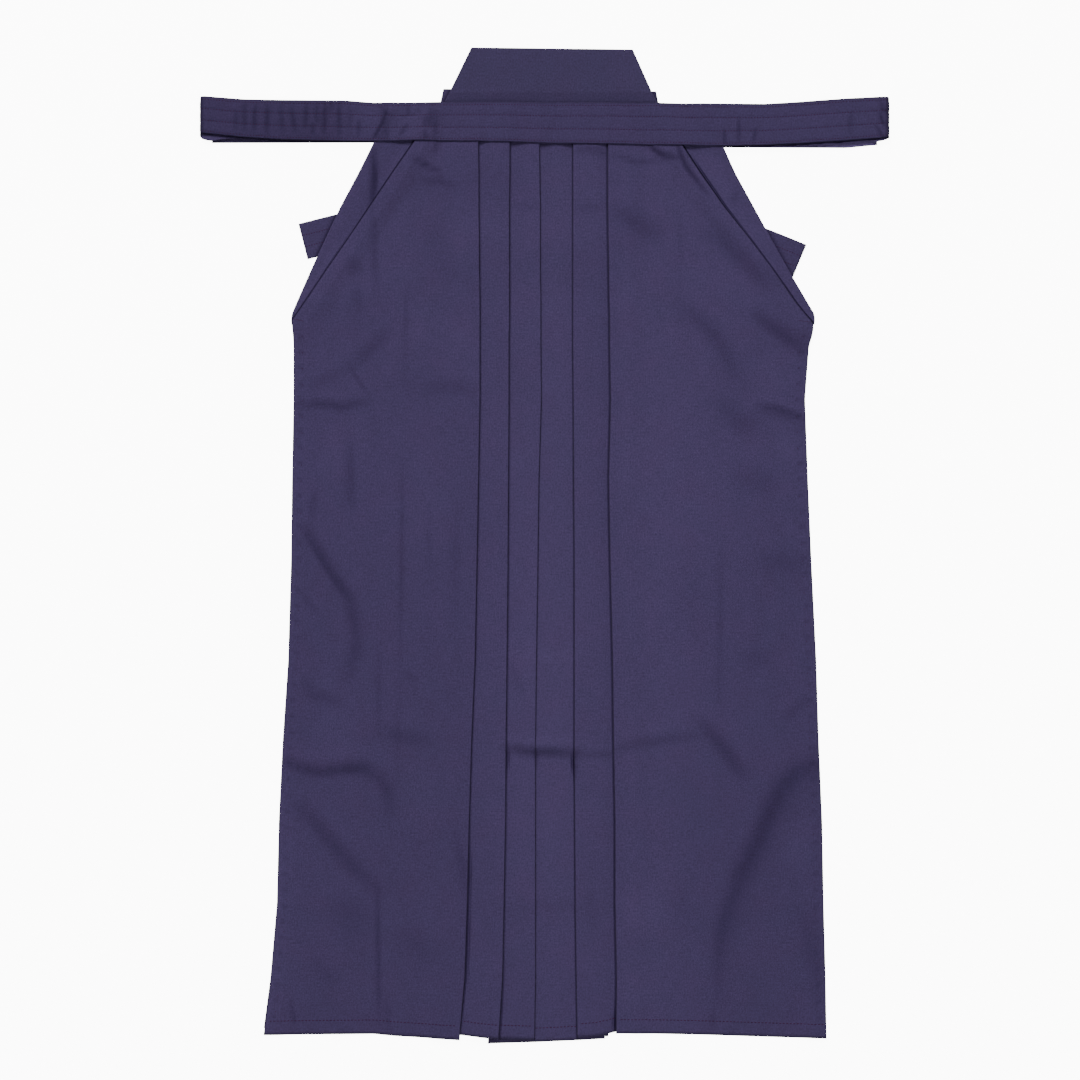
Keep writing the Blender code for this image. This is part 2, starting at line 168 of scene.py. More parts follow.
def cloth_piece(name, points, chart, material, wall=None):
    """A piece from a grid of points in millimetres, rows by columns, with the same grid laid flat.

    The fourth value of a point is its shade. With a wall the grid is the middle of a cloth. Without one
    each row is a ring round a solid strap.
    """
    rows, cols = points.shape[:2]
    index = np.arange(rows * cols).reshape(rows, cols)
    across = index if wall else np.concatenate([index, index[:, :1]], axis=1)
    quads = np.stack([across[:-1, :-1], across[1:, :-1], across[1:, 1:], across[:-1, 1:]], axis=-1)
    faces = quads.reshape(-1, 4).tolist()
    if not wall:
        faces += [index[0].tolist(), index[-1][::-1].tolist()]
    piece = smooth_mesh(name, points[:, :, :3], faces, material)
    mesh = piece.data
    layer = mesh.uv_layers.new(name="cloth")
    corner = np.empty(len(mesh.loops), dtype=np.int32)
    mesh.loops.foreach_get("vertex_index", corner)
    layer.data.foreach_set("uv", (chart.reshape(-1, 2)[corner] * MM).astype(np.float32).ravel())
    mesh.attributes.new("shade", "FLOAT", "POINT").data.foreach_set(
        "value", points[:, :, 3].astype(np.float32).ravel())
    if wall:
        solid = piece.modifiers.new("wall", "SOLIDIFY")
        solid.thickness = wall * MM
        solid.offset = 0.0
        solid.use_even_offset = True
    return piece


def put_in(piece, nodes, flat, area=None):
    """Attach a cloth to the root and hide the CAD nodes it stands for. Its flat size and area are not used.
    """
    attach(piece, "root")
    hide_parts(*nodes)
    wide, long = sorted(flat)
    wide * MM
    long * MM
    None if area is None else area * MM * MM


def tie_path(side, steps=140):
    """Middle line of a back tie: from root to end, bowed up by its sag."""
    root, end, sag = BACK_TIES[side]
    root, end = np.array(root), np.array(end)
    t = np.linspace(0.0, 1.0, steps)[:, None]
    normal = np.array([root[1] - end[1], end[0] - root[0]]) / np.linalg.norm(end - root)
    normal *= np.sign(normal[1])
    return root + (end - root) * t + normal * 4 * t * (1 - t) * sag


def run_lengths(path):
    """How far along a path of straight runs each of its points is."""
    return np.concatenate([[0.0], np.cumsum(np.linalg.norm(np.diff(path, axis=0), axis=1))])


def path_distance(x, y, path):
    """How far each point is from a path of straight runs, how far along it, 0 to 1, and if left of it."""
    x, y = np.asarray(x, float), np.asarray(y, float)
    lengths = run_lengths(path)
    best = np.full(x.shape, np.inf)
    along = np.zeros(x.shape)
    on_left = np.zeros(x.shape, dtype=bool)
    for i in range(len(path) - 1):
        run = path[i + 1] - path[i]
        t = np.clip(((x - path[i][0]) * run[0] + (y - path[i][1]) * run[1]) / (run @ run), 0.0, 1.0)
        away = np.hypot(x - path[i][0] - t * run[0], y - path[i][1] - t * run[1])
        nearer = away < best
        best = np.where(nearer, away, best)
        along = np.where(nearer, (lengths[i] + t * (lengths[i + 1] - lengths[i])) / lengths[-1], along)
        cross = run[0] * (y - path[i][1]) - run[1] * (x - path[i][0])
        on_left = np.where(nearer, cross > 0, on_left)
    return best, along, on_left


def smooth_step(t):
    """Rise from 0 to 1 with level ends: 3 t squared less 2 t cubed."""
    t = np.clip(t, 0.0, 1.0)
    return t * t * (3.0 - 2.0 * t)


def back_tie(side, cover):
    """One back tie: each section is a flat ring, with a slight dip along both edges where it is sewn.

    It is shaded beside the edge of the cloth that covers it. Gives the paths of its two rows of stitches.
    """
    path = tie_path(side)
    run = np.gradient(path, axis=0)
    run /= np.linalg.norm(run, axis=1)[:, None]
    normal = np.stack([-run[:, 1], run[:, 0]], axis=1)
    base = np.full(len(path), 0.1 + 0.5 * BACK_TIE_THICK)
    if side == "left":
        away = path_distance(path[:, 0], path[:, 1], tie_path("right"))[0]
        flat_part, ramp = 40.0, 14.0
        base += TIE_STEP * smooth_step(1.0 - (away - flat_part) / ramp)
    half, thick = 0.5 * BACK_TIE_WIDTH, 0.5 * BACK_TIE_THICK
    face = np.linspace(-1, 1, 17) * (half - thick)
    s = np.concatenate([face, [half, half], face[::-1], [-half, -half]])
    h = np.concatenate([np.full(17, thick), [0.5 * thick, -0.5 * thick],
                        np.full(17, -thick), [-0.5 * thick, 0.5 * thick]])
    dip, dip_inset, dip_width = 0.18, 3.0, 1.2
    h -= dip * np.exp(-((abs(s) - half + dip_inset) / dip_width) ** 2) * np.sign(h)
    points = np.ones((len(path), len(s), 4))
    points[:, :, :2] = path[:, None] + normal[:, None] * s[None, :, None]
    points[:, :, 2] = base[:, None] + h[None]
    away = path_distance(points[:, :, 0], points[:, :, 1], np.array(cover))[0]
    points[:, :, 3] -= 0.65 * np.exp(-(away / 2.4) ** 2)
    length = run_lengths(path)
    chart = np.stack(np.broadcast_arrays(s[None], length[:, None]), axis=-1)
    piece = cloth_piece(f"back_tie_{side}_cloth", points, chart, band_cotton)
    put_in(piece, [f"back_tie_{side}"], (BACK_TIE_WIDTH, length[-1]))
    rows, shown = (-6.0, 5.6), 30
    return [np.column_stack([path + normal * row, base + thick])[-shown:] for row in rows]


body_cotton = cotton("navy_cotton", (0.043, 0.0297, 0.083))
band_cotton = cotton("navy_cotton_band", (0.038, 0.026, 0.074))
back_tie_rows = back_tie("right", ((213.0, 345.5), (231.0, 312.5), (249.0, 280.0), (268.5, 247.0)))
back_tie_rows += back_tie("left", ((-208.0, 345.5), (-223.5, 312.5), (-238.5, 280.0), (-253.0, 247.0)))

# Back waistband and back board: a short doubled strip, and over it a stiff trapezoid covered with the
# same cotton. The cover is one smooth cloth, with a seam across it a third of the way down.
board_cotton = cotton("navy_cotton_board", (0.039, 0.028, 0.076), slub=0.7, weave=0.6)
BOARD_SEAM = 460.6


def covered_plate(name, left, right, rows, bottom, thick, material, seam=None, under=None):
    """A flat plate with round edges between two edge lines, each a table of x and y from the top down.

    The section at each row is a ring that goes over the face and back underneath. seam is the height
    of a seam across the face: the cloth below it lies lower and is darker. under holds the edge lines of a
    plate that lies on this one and shades it beside its edges.
    """
    edge = 0.5 * thick
    rim = np.radians([12, 35, 60])
    top, low = left[0][1], left[-1][1]
    y = np.concatenate([top - edge * (1 - np.cos(rim)), np.linspace(top - edge, low + edge, rows),
                        (low + edge * (1 - np.cos(rim)))[::-1]])
    full = np.concatenate([np.sin(rim), np.ones(rows), np.sin(rim)[::-1]])
    share = (top - y) / (top - low)
    y_right = right[0][1] + (right[-1][1] - right[0][1]) * share
    x_left = np.interp(-y, [-p[1] for p in left], [p[0] for p in left]) + edge
    x_right = np.interp(-y_right, [-p[1] for p in right], [p[0] for p in right]) - edge
    turn = np.radians([60, 30, 0, -30, -60])
    inner = smooth_step(np.linspace(0, 1, 41))
    across = np.concatenate([inner, np.ones(5), inner[::-1], np.zeros(5)])
    out = np.concatenate([np.zeros(41), np.cos(turn), np.zeros(41), -np.cos(turn)])
    up = np.concatenate([np.ones(41), np.sin(turn), -np.ones(41), -np.sin(turn)])
    points = np.empty((len(y), len(across), 3))
    points[:, :, 0] = x_left[:, None] + (x_right - x_left)[:, None] * across + edge * out * full[:, None]
    points[:, :, 1] = y[:, None] + (y_right - y)[:, None] * across
    points[:, :, 2] = bottom + edge + edge * up * full[:, None]
    if seam is not None:
        below = 1.0 - smooth_step((points[:, :, 1] - seam) / 1.2 + 0.5)
        step, groove, groove_width = 0.2, 0.15, 0.8
        lower = step * below + groove * np.exp(-((points[:, :, 1] - seam) / groove_width) ** 2)
        points[:, :, 2] -= np.where(up > 0.9, lower, 0.0)
    chart = np.stack([points[:, :, 0] + 300.0 * (up < 0), points[:, :, 1]], axis=-1)
    shade = np.ones_like(points[:, :, :1])
    if seam is not None:
        shade[:, :, 0] -= np.where(up > 0.9, 0.14 * below, 0.0)
    if under is not None:
        for line in under:
            away = path_distance(points[:, :, 0], points[:, :, 1], np.array(line))[0]
            shade[:, :, 0] -= 0.6 * np.exp(-(away / 2.5) ** 2)
    return cloth_piece(name, np.concatenate([points, shade], axis=-1), chart, material)


BOARD_LEFT = ((-74.7, 507.6), (-95.5, 465.0), (-121.0, 413.6))
BOARD_RIGHT = ((89.9, 505.5), (108.5, 464.0), (134.3, 411.8))
waistband = covered_plate(
    "back_waistband_cloth", ((-103.3, 465.7), (-111.5, 428.0)), ((113.8, 463.2), (121.0, 426.5)),
    24, 0.0, 1.6, band_cotton, under=(BOARD_LEFT, BOARD_RIGHT))
put_in(waistband, ["back_waistband"], (37.7, 225.0))
board = covered_plate("back_board_cover", BOARD_LEFT, BOARD_RIGHT, 80, 1.9, 2.0, board_cotton, BOARD_SEAM)
put_in(board, ["back_board"], (94.0, 255.0), 94.0 * 206.0)

# Backs of the legs: two wide cloths that lie on the back ties, sewn together at the middle. All the
# cloths above them lie on one net of lines: side seams, slits, folds of the pleats and their turns.
WALL = 0.8
LAYER = 1.0                  # the room that a cloth takes in the pile
AIR = 0.3
PITCH = LAYER + AIR
SLOPE = 0.15                 # steepest fall of a cloth over an edge
FOLD_INSET = 0.5 * PITCH + 0.5 * LAYER
SECTION_LINES = "y right_side right_slit fold1 fold2 fold3 fold4 fold5 left_slit left_side".split()
SECTIONS = np.array((
    (448, -157, -107, -67, -35, -5, 28.5, 64, 113, 162),
    (409, -174.5, -134, -67, -35, -5, 28.5, 64, 138.5, 180.5),
    (378, -190.5, -155.5, -66.5, -35, -4.5, 28.5, 64, 159, 195),
    (345.5, -208, -177.5, -66.5, -35.5, -4, 28.5, 64, 182, 213),
    (312.5, -223.5, -200, -66, -35.5, -4, 28.5, 64.5, 208.5, 231),
    (280, -238.5, -222.5, -66, -35.5, -4, 28.5, 65, 233, 249),
    (247, -253, -244.5, -65.5, -35.5, -3.5, 28.5, 65.5, 255.8, 268.5),
    (235.5, -257.8, -252.5, -65.5, -35.5, -3.5, 28.5, 66, 265, 275.3),
    (229, -258.3, -257.6, -65.5, -35.5, -3.5, 28.5, 66, 271, 275.4),
    (224, -257.7, -257.4, -65.5, -35.5, -3.5, 28.5, 66, 274.3, 274.6),
    (214, -256.5, -256.5, -65.5, -36, -3.5, 28.5, 66, 272.8, 272.8),
    (203.5, -256, -256, -65.5, -36, -3.5, 28.5, 66, 269.5, 269.5),
    (149, -256, -256, -65.5, -36, -3, 29, 67, 265.5, 265.5),
    (67, -257.5, -257.5, -67, -36.5, -5.5, 29.5, 65, 268.5, 268.5),
    (-15, -258.5, -258.5, -68.5, -37, -6.5, 30, 66.5, 272, 272),
    (-117, -261.5, -261.5, -70.5, -38, -8, 30, 69, 277, 277),
    (-199, -267, -267, -74, -39, -9, 30, 70, 279.5, 279.5),
    (-281, -271, -271, -76.5, -39.5, -9, 30.5, 71.5, 283, 283),
    (-365, -273, -273, -78.5, -41, -9, 31, 71.5, 284.5, 284.5),
    (-439.5, -279.5, -279.5, -81, -42.5, -9, 32, 73, 286.5, 286.5),
    (-500, -286.5, -286.5, -86.5, -46.5, -10, 33, 72.5, 287.5, 287.5),
))
HEM_START = -439.5
BAND_EDGE = np.array((
    (-350, 457.8, 420), (-306.5, 454.3, 415.5), (-267, 453.5, 413), (-202.5, 453, 411.5),
    (-174.5, 450.7, 411.5), (-127.5, 451.3, 412), (3.5, 451, 409), (117, 450.5, 407.2),
    (181.5, 449.9, 406.6), (224.5, 449.5, 407.5), (256.5, 451.4, 409), (308.5, 455.2, 412.2),
    (350.5, 457.2, 415.5),
))
WAIST_TUCK = 5.0             # the pleats start this far inside the folded band
LINES = ("right_side right_slit right1 right2 right3 right_fall turn1 fold1 turn2 turn3 fold2 fold3 centre "
         "fold4 seam turn4 fold5 turn5 left_fall left3 left2 left1 left_slit left_side").split()
CELL_X, CELL_Y = 3.0, 4.0


def band_height(x, edge):
    """Height of the front band's upper or lower edge at x."""
    return np.interp(x, BAND_EDGE[:, 0], BAND_EDGE[:, 1 if edge == "upper" else 2])


def line_x(y):
    """Where each line of the garment stands at the heights y: the table read between its rows."""
    at = {name: np.interp(y, SECTIONS[::-1, 0], SECTIONS[::-1, i]) for i, name in enumerate(SECTION_LINES)}
    down = (SECTIONS[0, 0] - y) / (SECTIONS[0, 0] - SECTIONS[-1, 0])
    at["turn1"] = at["fold1"] - 20.0
    at["turn2"] = at["fold2"] - 23.0 + 2.0 * down
    at["turn3"] = at["fold2"] - 10.0 - 1.5 * down
    at["turn4"] = at["fold5"] - 7.0 - 0.5 * down
    at["turn5"] = at["fold5"] + 20.0
    at["seam"] = at["turn4"] - 3.5
    at["centre"] = 0.5 * (at["fold3"] + at["fold4"])
    at["right_fall"] = at["turn1"] - 16.0
    at["left_fall"] = at["turn5"] + 16.0
    for side in ("right", "left"):
        slit, fall = at[side + "_slit"], at[side + "_fall"]
        first = slit + np.sign(fall - slit) * np.minimum(14.0, 0.4 * abs(fall - slit))
        at[side + "1"] = first
        at[side + "2"] = first + (fall - first) / 3
        at[side + "3"] = first + (fall - first) * 2 / 3
    return np.stack([at[name] for name in LINES], axis=-1)


def build_net():
    """The net's points by row and column, the column of each line, and the row where the legs start."""
    widest = np.abs(np.diff(line_x(np.array([0.0, 400.0, -500.0])), axis=1)).max(axis=0)
    parts = np.maximum(2, np.ceil(widest / CELL_X)).astype(int)
    column = np.concatenate([[0], np.cumsum(parts)])
    share = np.interp(np.arange(column[-1] + 1), column, np.arange(len(LINES)))
    whole = np.minimum(share.astype(int), len(LINES) - 2)
    part = share - whole
    every = np.arange(len(share))
    in_band = np.linspace(0.0, 1.0, 11)[:, None]
    join_y = SECTIONS[2, 0]
    joint = np.linspace(0.0, 1.0, 8)[1:-1, None]
    body = np.linspace(join_y, SECTIONS[-1, 0], int((join_y - SECTIONS[-1, 0]) / CELL_Y))[:, None]
    n, m = len(in_band), len(joint)
    y = np.full((n + m + len(body), len(share)), 430.0)
    for _ in range(5):
        lines = line_x(y)
        row = np.arange(len(y))[:, None]
        x = lines[row, every, whole] * (1 - part) + lines[row, every, whole + 1] * part
        upper, lower = band_height(x, "upper") - WAIST_TUCK, band_height(x, "lower")
        y = np.concatenate([
            upper[:n] + (lower - upper)[:n] * in_band,
            lower[n:n + m] + (join_y - lower[n:n + m]) * joint,
            np.broadcast_to(body, (len(body), len(share)))])
    return x, y, dict(zip(LINES, column)), n - 1


NET_X, NET_Y, COLUMN, LEG_ROW = build_net()
ALL = slice(0, len(NET_X))
WAIST = slice(0, LEG_ROW + 1)
LEGS = slice(LEG_ROW, len(NET_X))
SLIT = slice(0, int(np.argmax(NET_Y[:, 0] < 229.0)) + 2)
pile = np.zeros_like(NET_X)
TIE_MARGIN, TIE_RAMP = 46.0, 42.0  # a cloth stays up this far beside a tie, then comes down
for side in BACK_TIES:
    away = path_distance(NET_X, NET_Y, tie_path(side, 24))[0]
    pile += TIE_STEP * np.clip(1.0 - (away - 0.5 * BACK_TIE_WIDTH - TIE_MARGIN) / TIE_RAMP, 0.0, 1.0)


def cone(z, place, axis):
    """Raise z so that it falls no steeper than SLOPE from any of its points along one axis."""
    ahead = np.maximum.accumulate(z + SLOPE * place, axis) - SLOPE * place
    back = np.flip(np.maximum.accumulate(np.flip(z - SLOPE * place, axis), axis), axis) + SLOPE * place
    return np.maximum(ahead, back)


def lay(first, last, rows=ALL):
    """Lay a cloth on the pile from line to line; gives the height of the middle of its wall on the net."""
    cols = slice(COLUMN[first], COLUMN[last] + 1)
    z = cone(pile[rows, cols], NET_X[rows, cols], 1)
    z = cone(z, -NET_Y[rows, cols], 0)
    for _ in range(3):
        wide = np.pad(z, 1, mode="edge")
        z = np.maximum(z, 0.25 * (wide[1:-1, :-2] + 2 * z + wide[1:-1, 2:]))
        wide = np.pad(z, 1, mode="edge")
        z = np.maximum(z, 0.25 * (wide[:-2, 1:-1] + 2 * z + wide[2:, 1:-1]))
    pile[rows, cols] = z + PITCH
    whole = np.full(NET_X.shape, np.nan)
    whole[rows, cols] = z + 0.5 * LAYER
    return whole


def strip(height, first, last, rows=ALL, inset=(0.0, 0.0), hem=None, crease=None, every=1):
    """Points and shade of one cloth of the pile from line first to line last, either way across.

    inset pulls in the ends where a fold goes on. hem is a table of x and y for the lowest row, and the
    rows near it are stretched to meet it. crease gives the height and depth of shade of creases. A
    hidden cloth takes fewer columns: every third one and the last.
    """
    a, b = COLUMN[first], COLUMN[last]
    step = 1 if b >= a else -1
    cols = np.append(np.arange(a, b, step * every), b)
    x, y, z = NET_X[rows][:, cols], NET_Y[rows][:, cols], height[rows][:, cols]
    share = (x - x[:, :1]) / (x[:, -1:] - x[:, :1])
    x = x + step * (inset[0] * (1 - share) - inset[1] * share)
    if hem is not None:
        line = np.interp(x, [p[0] for p in hem], [p[1] for p in hem])
        y = y + (line - SECTIONS[-1, 0]) * np.clip((HEM_START - y) / (HEM_START - SECTIONS[-1, 0]), 0.0, 1.0)
    shade = np.ones_like(x)
    if crease is not None:
        rise, dark = crease(x, y)
        z, shade = z + rise, shade - dark
    return np.stack([x, y, z, shade], axis=-1)


def in_shadow(points, at, toward, depth, wide=0.6):
    """Darken a thin line of a cloth beside the edge of the cloth that lies on it, wide millimetres across.

    at is the column under the edge, toward is 1 or -1, the side that shows. Two columns are let in
    there: the cloth is dark as far as the first one and clear at the second.
    """
    fade = 1.3
    line, beyond = points[:, at], points[:, at + toward]
    width = np.linalg.norm((beyond - line)[:, :2], axis=1)[:, None] + 1e-6
    near = line + (beyond - line) * np.minimum(0.6, wide / width)
    clear = line + (beyond - line) * np.minimum(0.85, (wide + fade) / width)
    away = np.linalg.norm((points - line[:, None])[:, :, :2], axis=2)
    clearing = depth + (1.0 - depth) * smooth_step((away - wide) / fade)
    shows = (np.arange(points.shape[1]) - at) * toward > 0
    points[:, :, 3] *= np.where(shows, clearing, 1.0)
    line[:, 3] = near[:, 3] = np.ravel(depth)
    let_in = np.stack([near, clear] if toward > 0 else [clear, near], axis=1)
    split = at + 1 if toward > 0 else at
    return np.concatenate([points[:, :split], let_in, points[:, split:]], axis=1)


def flat_chart(points, anchor=0):
    """The cloth laid flat, in millimetres: widths added up across each row from the anchor column."""
    wide = np.linalg.norm(np.diff(points[:, :, :3], axis=1), axis=2)
    u = np.concatenate([np.zeros((len(points), 1)), np.cumsum(wide, axis=1)], axis=1)
    return np.stack([u - u[:, anchor:anchor + 1], points[:, :, 1]], axis=-1)


def flat_size(points):
    """Greatest width and length of the cloth once it is laid flat, and its area, in millimetres."""
    wide = np.linalg.norm(np.diff(points[:, :, :3], axis=1), axis=2)
    long = np.linalg.norm(np.diff(points[:, :, :3], axis=0), axis=2)
    area = np.sum(0.25 * (wide[1:] + wide[:-1]) * (long[:, 1:] + long[:, :-1]))
    width, length = wide.sum(axis=1).max(), long.sum(axis=0).max()
    return (width, length), min(area, width * length)


def panel(name, points, nodes, anchor=0):
    """Make one cloth of the legs, and pass it to put_in with the size and the area of its grid laid flat."""
    piece = cloth_piece(name, points, flat_chart(points, anchor), body_cotton, WALL)
    size, area = flat_size(points)
    put_in(piece, nodes, size, area)


back = lay("right_slit", "left_slit", LEGS)
BACK_HEM = ((-300.0, -492.0), (300.0, -492.0))
panel("back_right_leg_cloth", strip(back, "right_slit", "centre", LEGS, (0.0, 0.15), BACK_HEM),
      ["back_right_leg"])
panel("back_left_leg_cloth", strip(back, "centre", "left_slit", LEGS, (0.15, 0.0), BACK_HEM),
      ["back_left_leg"])

# Gusset: a small cloth let in between the legs at the crotch, hidden under the middle of the front. Higher
# up, the rear leaf of the front band is laid now: at its ends it is held up by the folded ties, and over
# the middle by the back board.
OVER_TIES, OVER_BOARD = 5.2, 4.35
for name in ("right_side", "left_side"):
    pile[WAIST, COLUMN[name]] = OVER_TIES
middle = slice(COLUMN["right_slit"], COLUMN["left_slit"] + 1)
pile[WAIST, middle] = np.maximum(pile[WAIST, middle], OVER_BOARD)
band_back = lay("right_side", "left_side", WAIST)
GUSSET = slice(int(np.argmax(NET_Y[:, 0] < -117.0)), int(np.argmax(NET_Y[:, 0] < -365.0)))
gusset = lay("fold2", "fold4", GUSSET)
panel("gusset_cloth", strip(gusset, "fold2", "fold4", GUSSET), ["gusset"])

# Front of the right leg: one wide cloth pleated into three folds. Its outer edge is turned under as a
# narrow hem. It runs from there to the first fold, turns under and back out three times, and ends at
# the seam in the middle of the garment.


def fold_nose(a, b, side, angles=(52, 0, -52)):
    """The round edge between the last points of one layer and the first points of the next one.

    Its shade deepens from the edge of the upper layer round to the gap below it.
    """
    middle, half = 0.5 * (a + b), 0.5 * (a[:, 2] - b[:, 2])
    nose = []
    for angle in np.radians(angles):
        point = middle.copy()
        upward = math.sin(angle) * np.sign(half)
        point[:, 3] = 0.22 + 0.6 * np.clip(upward, 0.0, 1.0) ** 2
        point[:, 0] += side * 0.5 * PITCH * math.cos(angle)
        point[:, 1] = a[:, 1] + (b[:, 1] - a[:, 1]) * (0.5 - 0.5 * math.sin(angle))
        point[:, 2] = middle[:, 2] + half * math.sin(angle)
        nose.append(point)
    return np.stack(nose, axis=1)


laid = {}  # the height of each cloth of the front, by the two lines between which it runs


def pleated(layers):
    """Join layers into one cloth: each is its first and last line, its hem and its creases.

    More values name a fold that lies on the layer, the side of it that shows, the shade there, and the
    places where the fold gapes: y, reach along it and amount. An amount of 1 darkens the line beside the
    fold by 0.35 and widens it by 1.5 mm. Gives the points, and the first column of each layer and the
    one past its last.
    """
    parts, spans = [], []
    for i, (first, last, hem, crease, *under) in enumerate(layers):
        inset = (FOLD_INSET if i else 0.0, FOLD_INSET if i < len(layers) - 1 else 0.0)
        part = strip(laid[first, last], first, last, ALL, inset, hem, crease, 1 if crease else 3)
        if under:
            fold, toward, shade, gapes = under
            y = part[:, :1, 1]
            gape = sum((amount * np.exp(-((y - at) / reach) ** 2) for at, reach, amount in gapes), 0.0 * y)
            part = in_shadow(part, abs(COLUMN[fold] - COLUMN[first]), toward, shade - 0.35 * gape,
                             0.6 + 1.5 * gape)
        if parts:
            side = 1 if COLUMN[first] > COLUMN[last] else -1
            parts.append(fold_nose(parts[-1][:, -1], part[:, 0], side))
        start = sum(p.shape[1] for p in parts)
        spans.append((start, start + part.shape[1]))
        parts.append(part)
    return np.concatenate(parts, axis=1), spans


def creases(table):
    """Height and shade of a set of creases: each a soft fold along a path, fading at its ends.

    table rows: height, depth of shade, half width left of the path's heading, half width right of it,
    and then x and y of each point of the path, in millimetres. The shade is deepest on the path and falls
    off as a bell curve to each side. The cloth is highest at the left half width. A depth below 0 lightens
    the cloth, and broad low rows stand for parts that lie a little towards the light or away from it.
    """
    def rise_and_dark(x, y):
        total, dark = np.zeros_like(x), np.zeros_like(x)
        for rise, depth, left, right, *path in table:
            away, along, on_left = path_distance(x, y, np.reshape(path, (-1, 2)).astype(float))
            fade = np.clip(4.0 * along * (1.0 - along), 0.0, 1.0) ** 0.8
            total += rise * fade * np.exp(-((np.where(on_left, away, -away) - left) / left) ** 2)
            dark += depth * fade * np.exp(-(away / np.where(on_left, left, right)) ** 2)
        return total, np.minimum(dark, 0.55)
    return rise_and_dark


RIGHT_CREASES = creases((
    (0.5, 0.2, 2.2, 2.2, -200.2, 185.8, -190, 168.9, -179.2, 152.2),
    (0.9, 0.17, 8.1, 6.2, -199.2, 179.6, -172, 204.4, -154.2, 222.6),
    (0.5, 0.08, 7.2, 6.2, -250.4, 156.1, -219.7, 170.4, -191, 185.8),
    (1, 0.26, 6.2, 3.6, -258.6, 139.7, -233.7, 143.9, -220, 142.8, -206.3, 140.4, -173.6, 147.9),
    (0.3, 0.06, 2.7, 2.7, -142.3, 148.9, -141.6, 266.6),
    (0.4, 0.17, 2.7, 2.5, -146.9, -127.4, -145.8, -24.1, -144.5, 97.8),
    (0.3, 0.07, 2.7, 2.7, -151.1, -255.4, -147, -86.5),
    (0.8, 0.2, 7.2, 4.3, -196.1, 34.3, -197.1, 77.3, -198.2, 114.1),
    (0.5, 0.14, 4.3, 3.6, -239.1, 22, -233, 59.9),
    (1.5, 0.34, 8.1, 3.6, -250.4, 25.1, -231.3, -8, -217.6, -30.9, -199.2, -54.8),
    (0.9, 0.22, 8.1, 7.2, -215.6, -31.2, -199.2, -55.8, -193.1, -81.4, -191, -119.2),
    (0.6, 0.13, 3.6, 3.6, -250.4, -44.5, -227.9, -75.2),
    (0.6, 0.13, 9, 7.2, -127.5, 158.1, -96.8, 161.2, -66.1, 156.1),
    (0.3, 0.09, 3.6, 2.7, -117.3, -35.3, -117.3, 51.7),
    (0.4, 0.09, 7.2, 4.3, -89.7, -81.4, -89.7, 46.6),
    (0.5, 0.14, 7.2, 6.2, -200.2, -141.8, -196.1, -119.2, -191, -96.7),
    (0.6, 0.15, 6.2, 6.2, -247.3, -133.6, -236, -152, -204.3, -161.2),
    (0.5, 0.25, 3, 2.3, -168.5, -497, -169.3, -424.3, -170, -338),
    (0.4, 0.13, 3, 2.4, -169.5, -204.2, -168.5, -91.6),
    (0.4, 0.12, 4.3, 4.3, -146, -127.4, -128.6, -138.7),
    (0.6, 0.14, 9, 7.2, -168.5, -188.9, -142.9, -196, -111.2, -201.1),
    (1.4, 0.3, 9, 4.3, -277, -217.5, -247.1, -228.5, -227.9, -232.6, -204.3, -229.3, -174.6, -227.8),
    (0.8, 0.19, 9, 7.2, -209.4, -228.8, -182.8, -227.8, -168.5, -237, -160.3, -252.3, -157.2, -281),
    (1, 0.21, 9.9, 7.2, -262.7, -255.4, -236, -282, -219.7, -301.1, -200.4, -323.2,
     -184.9, -338.3, -162.3, -361.8),
    (0.6, 0.11, 16.2, 16.2, -223.8, -359.8, -192, -378.2, -208.4, -407.9),
    (0.6, 0.16, 6.2, 4.3, -77.4, -362.9, -83.5, -321.9, -91.7, -286.1),
    (0.4, 0.08, 7.2, 7.2, -238.1, -417.1, -215.6, -447.8),
    (0.4, 0.24, 2.3, 2.3, -254.5, -490.8, -256.5, -475.5, -259.6, -462.2),
    (0.5, 0.08, 14.4, 12.6, -152.1, -387.4, -113.2, -428.4),
    (0.4, 0.13, 3.6, 3.6, -158.2, -502.1, -162.3, -460.1),
    (0.6, 0.17, 4.3, 3.6, -170.5, 251.3, -173.1, 289.9, -173.1, 316, -176.2, 351.6),
    (0.7, 0.36, 3.2, 2.5, -139, 397, -120, 386.5, -102, 378.2),
    (0.6, 0.18, 4.3, 3.6, -130.6, 372.1, -106, 370.9, -86.6, 363.9),
    (0.6, 0.16, 9, 8.1, -203.3, 293.3, -186.9, 274.8),
    (0.4, 0.12, 6.2, 4.3, -187.9, 237, -191, 270.7),
    (0.3, 0.08, 3.6, 2.7, -142.4, 205.2, -138.8, 271.8),
    (0.4, 0.18, 2.7, 2.2, -110.8, 397.7, -110.1, 417.1),
    (0.3, 0.06, 18, 18, -112, 345, -110, 312, -98, 262),
    (0.3, 0.05, 14, 14, -192, 262, -191, 224, -200, 196),
    (0.3, 0.05, 20, 20, -145, 182, -141, 172, -118, 150),
    (0.2, -0.06, 16, 16, -86, 340, -84, 308, -82, 280),
    (0.2, -0.06, 20, 20, -132, 262, -128, 234, -134, 200),
    (0.2, -0.05, 18, 18, -86, 240, -84, 206, -86, 180),
    (0.2, -0.05, 20, 20, -215, 130, -205, 95, -225, 60),
    (0.2, -0.05, 22, 22, -120, 120, -118, 40, -120, -20),
    (0.2, -0.05, 24, 24, -230, -170, -210, -195, -190, -205),
    (0.2, -0.05, 22, 22, -130, -215, -125, -260, -135, -300),
    (0, 0.09, 30, 30, -190, 372, -104, 370, -20, 368),
    (0, -0.12, 24, 24, -272, -200, -276, -340, -284, -520),
))
